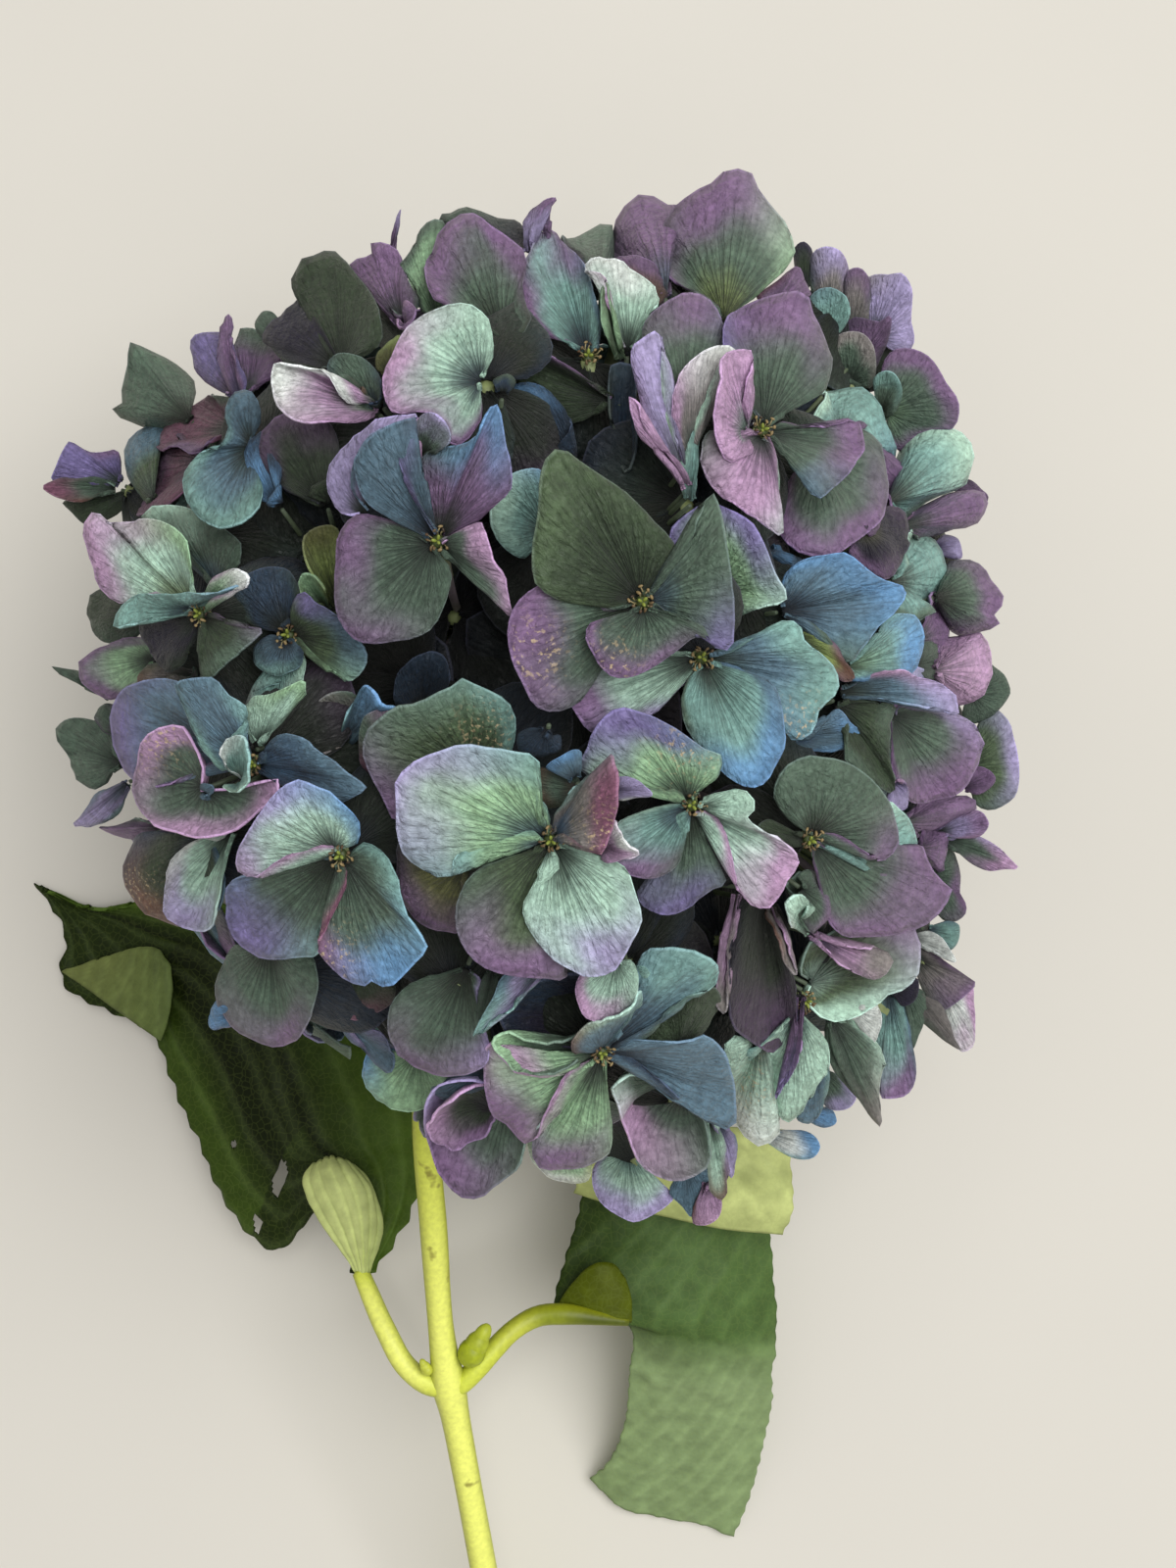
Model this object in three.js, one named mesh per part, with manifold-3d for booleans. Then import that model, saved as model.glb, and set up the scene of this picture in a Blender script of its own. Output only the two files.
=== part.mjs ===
// A cut hydrangea: a mophead of florets on its stem, with two leaves, lying on a table.
// Millimetres, +Z up. The table is z = 0, the stem lies along Y and its cut end is towards -Y.
import * as THREE from 'three';
import { mergeVertices } from 'three/addons/utils/BufferGeometryUtils.js';
import Module from 'manifold-3d';

const wasm = await Module();
wasm.setup();

// Driving dimensions
const EYE = new THREE.Vector3(26, 77, 460); // the viewer, looking straight down
const SLOPE = 0.2 / 375; // millimetres to a pixel, for each millimetre away from the viewer
const MIDDLE = [600, 800]; // the picture's middle, in pixels
const HEAD = new THREE.Vector3(14, 95, 82); // middle of the flower head
const SHELL = new THREE.Vector3(84, 91, 80); // half sizes of the shell that the floret eyes lie on
const SEPAL_REACH = 22; // from a floret's eye to a sepal's tip
const SEPAL_THICKNESS = 1.1;
const SEPAL_RISE = 3; // how far the sepals' tips stand over the eye
const SPIN_STEP = 0.63; // radians that each floret is turned from the one before
const EYE_OVER_TABLE = 8; // eye height of the florets that the head rests on
const PEDICEL_RADIUS = 0.9;
const RAY_RADIUS = 1.3;
const LIMB_RADIUS = 2.2;
const PEDUNCLE = 6; // length of a cyme's own stalk, below where its pedicels part
const LEAF_THICKNESS = 1.4;
const QUARTERS = [0, 90, 180, 270]; // the four sepals of a floret, in degrees
const LOBE = [[-24, 1, 1], [24, 1, 1], [45, 0.6, 0]]; // a sepal's two corners and the notch after it:
// degrees, share of the reach, share of the rise
const PRESSED_SHARE = 0.55; // a resting floret lies flat outside this share of its reach
const EYE_INSIDE = 0.2; // how far a pedicel's end reaches past its floret's eye
const UPTURN = 0.15; // share by which a floret turns from straight outward to straight up
const LIMB_SHARE = 0.24; // how far out on the shell's radius the fork's limbs part
const HUB_SHARE = 0.5; // how far out the cymes' own stalks part
const KNOT = 3.6; // half size of the knots where stalks part
const KNOT_INSIDE = 2; // how far from a knot's middle its stalks start
const GAP = 0.3; // between pieces that touch

const STEMWARD = new THREE.Vector3(-0.12, -0.95, -0.3).normalize(); // from the head's middle down the stem
const STEM_CONE = 0.42; // radians about the stem that carry no florets
const HORIZON = 0.3; // the head is out of sight below this share of its half height
const ROOM = 23; // least distance of a hidden floret from the seen ones
const NEIGHBOURLY = 2.2 * SEPAL_REACH; // florets further apart than this can't meet

// Counts
const CYMES = 44;
const LIMBS = 9;
const WHOLE_HEAD = 104; // florets that would cover the whole shell evenly
const GOLDEN_ANGLE = Math.PI * (3 - Math.sqrt(5));

// The florets that the picture shows: the eye's column and row in pixels, and its lift over the shell
const SEEN_FLORETS = [
  [447, 553, 4], [777, 440, 6], [655, 615, 8], [715, 671, 2], [562, 857, 8], [705, 821, 3],
  [825, 857, 4], [348, 872, 6], [260, 780, 3], [205, 627, 2], [295, 648, -8], [600, 365, -6],
  [617, 478, -14], [497, 392, 0], [614, 1073, 4], [821, 1021, 2], [738, 312, 4], [530, 335, -2],
  [440, 320, -8], [352, 372, 0], [395, 440, -6], [250, 385, -4], [185, 425, -6], [272, 462, -6],
  [128, 500, -4], [215, 545, -10], [345, 565, -18], [702, 515, -6], [745, 590, -12], [145, 670, -8],
  [130, 770, -12], [205, 865, -6], [285, 985, 2], [372, 975, -8], [465, 1010, 2], [418, 1075, -18],
  [520, 1115, 2], [690, 1125, 4], [650, 1190, -10], [775, 1110, -2], [905, 1035, -4], [945, 985, -8],
  [345, 745, -14], [430, 700, -22], [485, 790, -6], [865, 310, -6], [880, 385, -6], [905, 440, 0],
  [850, 500, -6], [930, 520, -8], [970, 600, -8], [965, 690, -6], [845, 640, -6], [895, 730, -6],
  [985, 790, -8], [945, 860, -10], [560, 545, -18], [560, 990, -12], [640, 985, -8], [735, 960, -16],
];

// The stem's line: points with the stem's radius there, from the cut end to the fork inside the head
const STEM_LINE = [
  [13.8, -193, 3.4, 3.6], [7.6, -151, 16, 3.5], [1.5, -108, 28, 3.4], [-3, -76, 37, 3.4],
  [-5.2, -59, 42.5, 4.4], [-6, -48, 46, 3.1], [-7.8, -20, 55, 3], [-9, 6, 63, 2.8],
  [-3, 47, 74, 2.7], [7, 73, 81, 2.7], [14, 89, 85, 2.6],
];
const STEM_SIDES = 12;
const PETIOLE_SIDES = 8;
const FORK = new THREE.Vector3(14, 87, 85);

// The leaves, as columns and rows in pixels with heights in millimetres. A petiole's last number is its
// radius; each row of a blade crosses it from its left margin over its midrib to its right margin.
const LEFT_PETIOLE = [
  [452, 1416, 43, 2.2], [438, 1413, 43, 2.2], [419, 1398, 42, 2.1], [396, 1356, 40, 1.9], [378, 1317, 36, 1.9],
  [369, 1298, 34, 1.8],
];
const LEFT_BLADE = [
  [[360, 1296, 33], [370, 1301, 34], [381, 1296, 33]],
  [[300, 1262, 24], [345, 1240, 27], [391, 1278, 29]],
  [[258, 1258, 20], [320, 1200, 23], [428, 1225, 27]],
  [[212, 1178, 16], [290, 1150, 20], [430, 1140, 24]],
  [[178, 1095, 12], [250, 1080, 15], [400, 1060, 18]],
  [[162, 1061, 9], [215, 1020, 11], [330, 990, 13]],
  [[66, 991, 4], [150, 965, 6], [240, 930, 8]],
  [[60, 940, 2], [80, 938, 2.5], [110, 925, 4]],
  [[40, 904, 0.75], [43, 906, 0.75], [47, 909, 0.8]],
];
const LEFT_LOBE = [
  [[362, 1296, 35], [371, 1301, 36], [380, 1295, 35]],
  [[332, 1255, 36], [362, 1250, 38], [391, 1262, 35]],
  [[310, 1205, 33], [345, 1205, 36], [384, 1215, 33]],
  [[318, 1186, 29], [340, 1180, 31], [362, 1186, 30]],
];
const RIGHT_PETIOLE = [
  [462, 1416, 43, 2.2], [468, 1413, 43, 2.2], [484, 1398, 43, 2.2], [503, 1376, 42, 2], [524, 1355, 40, 1.9],
  [549, 1339, 37, 1.8], [578, 1334, 35, 1.7], [610, 1337, 33.5, 1.5],
];
const RIGHT_BLADE = [
  [[587, 1215, 33], [700, 1238, 34], [811, 1262, 30]],
  [[590, 1180, 36], [700, 1190, 38], [812, 1200, 33]],
  [[600, 1150, 32], [700, 1150, 34], [808, 1160, 28]],
  [[598, 1190, 27], [690, 1195, 28], [795, 1205, 22]],
  [[585, 1245, 28], [680, 1260, 29], [783, 1258, 22]],
  [[568, 1331, 34], [690, 1340, 33], [790, 1335, 24]],
  [[640, 1352, 32], [712, 1375, 29], [787, 1390, 20]],
  [[641, 1430, 20], [712, 1440, 19], [783, 1445, 13]],
  [[628, 1492, 9], [700, 1508, 8], [768, 1505, 6]],
  [[607, 1512, 3], [680, 1549, 1.5], [746, 1566, 0.8]],
];

// The buds in the leaf axils: foot, tip and half width
const RIGHT_BUD = { foot: [476, 1392, 45.5], tip: [492, 1357, 46.5], half: 2.6 };
const LEFT_BUD = { foot: [439, 1403, 45.5], tip: [431, 1389, 46.5], half: 1.4 };

const MATERIALS = {
  stem: material('#a9b94a', 0.55),
  leaf: material('#47582f', 0.6),
  bud: material('#9db04f', 0.55),
  sepal: material('#7f8797', 0.65),
};

function material(color, roughness) {
  return new THREE.MeshStandardMaterial({ color, roughness, metalness: 0 });
}

// Where a pixel of the picture lies in space, at a given height over the table
function seen(column, row, height) {
  const scale = SLOPE * (EYE.z - height);
  const x = EYE.x + (column - MIDDLE[0]) * scale;
  const y = EYE.y + (MIDDLE[1] - row) * scale;
  return new THREE.Vector3(x, y, height);
}

// Where a pixel of the picture meets the top of the shell, raised by a lift
function onShell(column, row, lift) {
  let height = HEAD.z + SHELL.z;
  for (let step = 0; step < 30; step += 1) {
    const p = seen(column, row, height);
    const inside = 1 - ((p.x - HEAD.x) / SHELL.x) ** 2 - ((p.y - HEAD.y) / SHELL.y) ** 2;
    height = (height + HEAD.z + SHELL.z * Math.sqrt(Math.max(0, inside))) / 2;
  }
  return seen(column, row, height + lift);
}

// Directions spread evenly over a sphere
function evenDirection(index, count) {
  const z = 1 - (2 * index + 1) / count;
  const radius = Math.sqrt(1 - z * z);
  const turn = index * GOLDEN_ANGLE;
  return new THREE.Vector3(radius * Math.cos(turn), radius * Math.sin(turn), z);
}

function direction(point) {
  return point.clone().sub(HEAD).divide(SHELL).normalize();
}

// The florets on the sides and underneath, where the picture doesn't reach
function hiddenEyes(eyes) {
  const found = [];
  for (let index = 0; index < WHOLE_HEAD; index += 1) {
    const way = evenDirection(index, WHOLE_HEAD);
    const eye = way.clone().multiply(SHELL).add(HEAD);
    eye.z = Math.max(eye.z, EYE_OVER_TABLE);
    const crowded = eyes.some((other) => other.distanceTo(eye) < ROOM);
    if (way.z < HORIZON && !crowded && way.angleTo(STEMWARD) > STEM_CONE) found.push(eye);
  }
  return found;
}

// A closed solid from rings of points, each joined to the next, with a fan over each end
function skin(rings, firstMiddle, lastMiddle) {
  const count = rings[0].length;
  const points = [...rings.flat(), firstMiddle, lastMiddle];
  const faces = [];
  for (let ring = 0; ring + 1 < rings.length; ring += 1) {
    for (let k = 0; k < count; k += 1) {
      const a = ring * count + k;
      const b = ring * count + ((k + 1) % count);
      faces.push(a, b, b + count, a, b + count, a + count);
    }
  }
  const last = (rings.length - 1) * count;
  for (let k = 0; k < count; k += 1) {
    const next = (k + 1) % count;
    faces.push(points.length - 2, next, k);
    faces.push(points.length - 1, last + k, last + next);
  }
  const geometry = new THREE.BufferGeometry().setFromPoints(points);
  geometry.setIndex(faces);
  return geometry;
}

// A plate with four lobes, from the outlines of its two faces: two corners and a notch to a lobe
function lobedPlate(lower, upper) {
  const count = lower.length;
  const faces = [];
  const notch = (lobe) => (3 * lobe + 2) % count;
  const quad = (a, b, c, d, start) => faces.push(start + a, start + b, start + c, start + a, start + c, start + d);
  quad(notch(3), notch(2), notch(1), notch(0), 0);
  quad(notch(0), notch(1), notch(2), notch(3), count);
  for (let lobe = 0; lobe < 4; lobe += 1) {
    const before = notch(lobe + 3);
    quad(notch(lobe), 3 * lobe + 1, 3 * lobe, before, 0);
    quad(before, 3 * lobe, 3 * lobe + 1, notch(lobe), count);
  }
  for (let k = 0; k < count; k += 1) {
    const next = (k + 1) % count;
    faces.push(k, next, count + next, k, count + next, count + k);
  }
  const geometry = new THREE.BufferGeometry().setFromPoints([...lower, ...upper]);
  geometry.setIndex(faces);
  return geometry;
}

function middle(points) {
  const sum = new THREE.Vector3();
  points.forEach((point) => sum.add(point));
  return sum.divideScalar(points.length);
}

function toSolid(geometry) {
  const bare = new THREE.BufferGeometry();
  bare.setAttribute('position', geometry.getAttribute('position'));
  bare.setIndex(geometry.getIndex());
  const merged = mergeVertices(bare, 1e-4);
  const vertProperties = new Float32Array(merged.getAttribute('position').array);
  const triVerts = new Uint32Array(merged.getIndex().array);
  const solid = new wasm.Manifold(new wasm.Mesh({ numProp: 3, vertProperties, triVerts }));
  if (solid.status() !== 'NoError') throw new Error(`not a solid: ${solid.status()}`);
  return solid.volume() < 0 ? turnedOut(vertProperties, triVerts) : solid;
}

function turnedOut(vertProperties, triVerts) {
  for (let k = 0; k < triVerts.length; k += 3) {
    [triVerts[k + 1], triVerts[k + 2]] = [triVerts[k + 2], triVerts[k + 1]];
  }
  return new wasm.Manifold(new wasm.Mesh({ numProp: 3, vertProperties, triVerts }));
}

function toMesh(name, solid, look) {
  const data = solid.getMesh();
  const geometry = new THREE.BufferGeometry();
  geometry.setAttribute('position', new THREE.BufferAttribute(data.vertProperties, 3));
  geometry.setIndex(new THREE.BufferAttribute(data.triVerts, 1));
  geometry.computeVertexNormals();
  const mesh = new THREE.Mesh(geometry, look);
  mesh.name = name;
  return mesh;
}

function union(solids) {
  return wasm.Manifold.union(solids);
}

function largest(solid) {
  const parts = solid.decompose();
  return parts.reduce((best, part) => (part.volume() > best.volume() ? part : best), parts[0]);
}

// A straight round bar between two points
function bar(from, to, radius, sides = 4) {
  const length = from.distanceTo(to);
  const geometry = new THREE.CylinderGeometry(radius, radius, length, sides);
  geometry.deleteAttribute('normal');
  geometry.deleteAttribute('uv');
  const up = new THREE.Vector3(0, 1, 0);
  const way = to.clone().sub(from).normalize();
  geometry.applyQuaternion(new THREE.Quaternion().setFromUnitVectors(up, way));
  const centre = middle([from, to]);
  geometry.translate(centre.x, centre.y, centre.z);
  return toSolid(geometry);
}

function knot(point) {
  return toSolid(new THREE.OctahedronGeometry(KNOT).translate(...point.toArray()));
}

// A round tube along a line of points, with its own radius at each
function tube(points, radii, sides) {
  const rings = points.map((point, index) => {
    const before = points[Math.max(index - 1, 0)];
    const after = points[Math.min(index + 1, points.length - 1)];
    const along = after.clone().sub(before).normalize();
    const side = new THREE.Vector3(0, 0, 1).cross(along).normalize();
    const over = along.clone().cross(side);
    return Array.from({ length: sides }, (_, k) => {
      const turn = (2 * Math.PI * k) / sides;
      const offset = side.clone().multiplyScalar(Math.cos(turn)).addScaledVector(over, Math.sin(turn));
      return point.clone().addScaledVector(offset, radii[index]);
    });
  });
  return toSolid(skin(rings, points[0], points[points.length - 1]));
}

// A thin sheet with a point for each place of a grid; each row crosses the sheet
function sheet(pixels, thickness) {
  const rows = pixels.map((row) => row.map((place) => seen(...place)));
  const rings = rows.map((row, index) => {
    const before = rows[Math.max(index - 1, 0)];
    const after = rows[Math.min(index + 1, rows.length - 1)];
    const across = row[row.length - 1].clone().sub(row[0]);
    const normals = row.map((_, k) => across.clone().cross(after[k].clone().sub(before[k])).normalize());
    const upper = row.map((point, k) => point.clone().addScaledVector(normals[k], thickness / 2));
    const lower = row.map((point, k) => point.clone().addScaledVector(normals[k], -thickness / 2));
    return [...upper, ...lower.reverse()];
  });
  return toSolid(skin(rings, middle(rings[0]), middle(rings[rings.length - 1])));
}

// An egg-shaped bud between its foot and its tip
function bud({ foot, tip, half }) {
  const from = seen(...foot);
  const to = seen(...tip);
  const geometry = new THREE.SphereGeometry(1, 8, 6);
  geometry.deleteAttribute('normal');
  geometry.deleteAttribute('uv');
  geometry.scale(half, from.distanceTo(to) / 2, half);
  const way = to.clone().sub(from).normalize();
  geometry.applyQuaternion(new THREE.Quaternion().setFromUnitVectors(new THREE.Vector3(0, 1, 0), way));
  geometry.translate(...middle([from, to]).toArray());
  return toSolid(geometry);
}

// A floret's four sepals as one shallow four-lobed cup, facing out of the head.
// A floret that the head rests on is pressed flat on the table outside its inner ring.
function fourSepals(floret) {
  const turn = new THREE.Quaternion().setFromUnitVectors(new THREE.Vector3(0, 0, 1), floret.facing);
  const place = (radius, angle, height) => new THREE.Vector3(
    radius * Math.cos(angle), radius * Math.sin(angle), height,
  ).applyQuaternion(turn).add(floret.eye);
  const half = SEPAL_THICKNESS / 2;
  const ring = (share, height) => QUARTERS.flatMap((quarter) => LOBE.map(([angle, size, bend]) => (
    place(
      SEPAL_REACH * size * share,
      THREE.MathUtils.degToRad(quarter + angle) + floret.spin,
      height + (floret.resting ? 0 : bend * SEPAL_RISE),
    )
  )));
  if (floret.resting) {
    const table = EYE_OVER_TABLE;
    const rings = [ring(1, table - SEPAL_THICKNESS), ring(1, table), ring(PRESSED_SHARE, table)];
    return toSolid(skin(rings, place(0, 0, -half), place(0, 0, half)));
  }
  return toSolid(lobedPlate(ring(1, -half), ring(1, half)));
}

function overTable(solid) {
  return solid.trimByPlane([0, 0, 1], 0);
}

// A floret's sepals, cut off halfway to each other floret near it
function keptClear(solid, eye) {
  let kept = solid;
  eyes.forEach((other) => {
    const apart = eye.clone().sub(other);
    if (other === eye || apart.length() > NEIGHBOURLY) return;
    apart.normalize();
    kept = kept.trimByPlane(apart.toArray(), apart.dot(middle([eye, other])) + GAP / 2);
  });
  return overTable(kept);
}

function nearest(stalks, way) {
  return stalks.reduce((best, stalk) => (stalk.way.angleTo(way) < best.way.angleTo(way) ? stalk : best));
}

// The forking inside the head: the stem's limbs part first, then each cyme at its own hub
const eyes = SEEN_FLORETS.map(([column, row, lift]) => onShell(column, row, lift));
eyes.push(...hiddenEyes(eyes));

const hubs = Array.from({ length: CYMES }, (_, index) => {
  const way = evenDirection(index, CYMES);
  return { way, point: way.clone().multiply(SHELL).multiplyScalar(HUB_SHARE).add(HEAD), florets: [] };
});

eyes.forEach((eye, index) => {
  const way = direction(eye);
  const resting = eye.z < EYE_OVER_TABLE + 0.5;
  const outward = way.clone().divide(SHELL).normalize();
  const upward = outward.lerp(new THREE.Vector3(0, 0, 1), UPTURN).normalize();
  const facing = resting ? new THREE.Vector3(0, 0, -1) : upward;
  nearest(hubs, way).florets.push({ eye, facing, resting, spin: index * SPIN_STEP });
});

const limbs = Array.from({ length: LIMBS }, (_, index) => {
  const way = evenDirection(index, LIMBS);
  return { way, point: way.clone().multiply(SHELL).multiplyScalar(LIMB_SHARE).add(HEAD) };
});

const cymes = hubs.filter((hub) => hub.florets.length > 0);

// A point on a cyme's stalk, so far out from the stalk's inner end
function peduncleEnd(hub, out) {
  const way = hub.point.clone().sub(nearest(limbs, hub.way).point).normalize();
  return hub.point.clone().addScaledVector(way, out - PEDUNCLE);
}

function pedicel(hub, floret) {
  const way = floret.eye.clone().sub(hub.point).normalize();
  const inner = hub.point.clone().addScaledVector(way, KNOT_INSIDE);
  return [inner, floret.eye.clone().addScaledVector(way, EYE_INSIDE)];
}

function stemTube(extra) {
  const points = STEM_LINE.map(([x, y, z]) => new THREE.Vector3(x, y, z));
  return tube(points, STEM_LINE.map((row) => row[3] + extra), STEM_SIDES);
}

function petiole(line, extra) {
  const points = line.map(([column, row, height]) => seen(column, row, height));
  return tube(points, line.map((row) => row[3] + extra), PETIOLE_SIDES);
}

function leaf(petioleLine, blades) {
  const sheets = blades.map((rows) => sheet(rows, LEAF_THICKNESS));
  const whole = union([petiole(petioleLine, 0), ...sheets]).subtract(stemTube(GAP));
  return overTable(largest(whole));
}

function cyme(hub) {
  const solids = [];
  hub.florets.forEach((floret) => {
    solids.push(largest(keptClear(fourSepals(floret), floret.eye).subtract(stemTube(GAP))));
    solids.push(bar(...pedicel(hub, floret), PEDICEL_RADIUS));
  });
  solids.push(bar(peduncleEnd(hub, 0), peduncleEnd(hub, PEDUNCLE - KNOT_INSIDE), RAY_RADIUS), knot(hub.point));
  return union(solids);
}

function stem() {
  const solids = [stemTube(0)];
  limbs.forEach((limb) => solids.push(bar(FORK, limb.point, LIMB_RADIUS), knot(limb.point)));
  cymes.forEach((hub) => {
    const limb = nearest(limbs, hub.way);
    const way = hub.point.clone().sub(limb.point).normalize();
    solids.push(bar(limb.point.clone().addScaledVector(way, KNOT_INSIDE), peduncleEnd(hub, -GAP), RAY_RADIUS));
  });
  return overTable(union(solids));
}

const group = new THREE.Group();
group.add(toMesh('stem', stem(), MATERIALS.stem));
group.add(toMesh('leaf_left', leaf(LEFT_PETIOLE, [LEFT_BLADE, LEFT_LOBE]), MATERIALS.leaf));
group.add(toMesh('leaf_right', leaf(RIGHT_PETIOLE, [RIGHT_BLADE]), MATERIALS.leaf));
const inTheWay = union([stemTube(GAP), petiole(LEFT_PETIOLE, GAP), petiole(RIGHT_PETIOLE, GAP)]);
group.add(toMesh('axil_bud_left', largest(bud(LEFT_BUD).subtract(inTheWay)), MATERIALS.bud));
group.add(toMesh('axil_bud_right', largest(bud(RIGHT_BUD).subtract(inTheWay)), MATERIALS.bud));
cymes.forEach((hub, index) => {
  const number = String(index + 1).padStart(2, '0');
  group.add(toMesh(`cyme_${number}`, cyme(hub), MATERIALS.sepal));
});

export default group;
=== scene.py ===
"""A cut mophead hydrangea lying on a pale table: sepals, hearts, stalks, stem, leaves and buds."""
import math
import random

import bmesh
import bpy
from bpy.props import FloatProperty, FloatVectorProperty, PointerProperty
from mathutils import Matrix, Vector, noise


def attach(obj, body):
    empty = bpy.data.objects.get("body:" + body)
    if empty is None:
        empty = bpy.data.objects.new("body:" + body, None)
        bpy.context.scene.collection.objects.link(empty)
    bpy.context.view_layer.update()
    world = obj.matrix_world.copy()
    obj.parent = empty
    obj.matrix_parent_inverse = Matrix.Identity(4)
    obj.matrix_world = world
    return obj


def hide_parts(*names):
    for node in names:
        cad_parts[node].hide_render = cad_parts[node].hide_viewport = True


bl_info = {
    "name": "Mophead hydrangea",
    "version": (1, 0, 0),
    "blender": (4, 5, 0),
    "location": "View3D > Sidebar > Hydrangea",
    "description": "Builds a cut mophead hydrangea with its sepals, stalks, stem and leaves",
    "category": "Add Mesh",
}

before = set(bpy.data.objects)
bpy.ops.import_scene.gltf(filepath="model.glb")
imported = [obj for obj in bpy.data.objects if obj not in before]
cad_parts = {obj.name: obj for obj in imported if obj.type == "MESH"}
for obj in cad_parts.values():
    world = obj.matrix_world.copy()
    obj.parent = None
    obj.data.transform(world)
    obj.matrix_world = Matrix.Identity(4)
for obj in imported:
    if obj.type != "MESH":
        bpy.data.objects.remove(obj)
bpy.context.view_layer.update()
MM = 0.001

# The picture and the head, in millimetres. The table is z = 0 and the viewer looks straight down.
VIEWER = Vector((26, 77, 460))
SLOPE = 0.2 / 375  # millimetres to a pixel, for each millimetre away from the viewer
MIDDLE = (600, 800)  # the picture's middle, in pixels
HEAD = Vector((14, 95, 82))  # the head's middle
SHELL = Vector((84, 91, 80))  # from there to the florets' eyes, along x, y and z
FORK = Vector((14, 87, 85))  # where the stem parts into the head's limbs
UP = Vector((0, 0, 1))
ZERO = Vector((0, 0, 0))
EYE_OVER_TABLE = 8  # the lowest florets' eyes
CLEARANCE = 0.6  # the lowest that sepals and leaves reach
STEPS = 8  # to each stretch between two points, when a curve is measured

# How the florets share out among the cymes
CYMES = 44
LIMBS = 9
LIMB_SHARE = 0.24  # how far out the limbs end, as a share of SHELL
HUB_SHARE = 0.5  # how far out the cymes fork
GOLDEN_ANGLE = math.pi * (3 - math.sqrt(5))
STEMWARD = Vector((-0.12, -0.95, -0.3)).normalized()
STEM_CONE = 0.42  # no hidden floret stands this near the stem's direction, in radians
HORIZON = 0.3  # nor higher than this, as a share of SHELL
WHOLE_HEAD = 104  # even directions in which hidden florets are tried
ROOM = 23  # the least distance between their eyes
BETWEEN = 190  # directions in which more of them are tried, between those
BETWEEN_ROOM = 18.5
LEFT_OUT = (61, 62, 64, 65, 110, 114)  # florets that would hide what the picture shows
SHOULDER = 58  # hidden florets higher than this stand further in, under the pictured ones
SINK = 8  # by this much
INNER = 64  # directions of the small florets deep in the head, painted dark as shade, which close it to the eye
INNER_SHARE = 0.64
INNER_FIRST = 900  # the first of their numbers
UPTURN = 0.15  # how far a floret turns from the head's surface towards the viewer, from 0 to 1
PICTURED_UPTURN = 0.5

# The tissue's colours, by the letter that a sepal's colours are written with
TINTS = {
    "A": "#8a8480",  # tan underside
    "B": "#6795bf",  # blue
    "C": "#31465c",  # night blue
    "D": "#36452f",  # dark green
    "E": "#9dc499",  # light green
    "F": "#4e6143",  # leaf green
    "G": "#566b5a",  # grey-green
    "K": "#bd98bb",  # pink
    "L": "#aa9ec8",  # lilac
    "M": "#b6dac4",  # mint
    "N": "#6b4c3c",  # brown
    "O": "#6e7040",  # olive
    "P": "#7f6387",  # purple
    "R": "#83536a",  # wine red
    "S": "#5e7b8c",  # slate
    "T": "#82aca3",  # teal
    "V": "#776c9c",  # violet
    "W": "#e2e8e2",  # nearly white
    "X": "#241f33",  # painted deep shade, for the gaps and sepals in shadow
    "Y": "#98ab62",  # yellow-green
}


def petal(tints, rise, outline, **more):
    """A sepal that the picture shows.

    tints: its colours at the claw, in the middle, and at its first, far and last margin.
    rise: how far those three margins stand over the head's surface, in millimetres.
    outline: column, row, column, row and so on round its margin, clockwise from the claw and back.
    """
    return {"tints": tints, "rise": rise, "outline": list(zip(outline[::2], outline[1::2])), **more}


# Half widths of a plain sepal, as shares of its width, at shares of the way to its tip
LEAFLET = ((0.1, 0.2), (0.26, 0.42), (0.45, 0.5), (0.66, 0.48), (0.83, 0.36), (0.95, 0.16))


def plain(tints, rise, claw, tip, width, **more):
    """A sepal of the common shape, from its claw to its tip, with its width in pixels."""
    out = Vector(tip) - Vector(claw)
    across = Vector((out.y, -out.x)).normalized() * width
    first = [Vector(claw) + out * share + across * half for share, half in LEAFLET]
    last = [Vector(claw) + out * share - across * half for share, half in reversed(LEAFLET)]
    outline = [tuple(place) for place in (*first, Vector(tip), *last)]
    return {"tints": tints, "rise": rise, "outline": outline, "claw": claw, **more}
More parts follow.
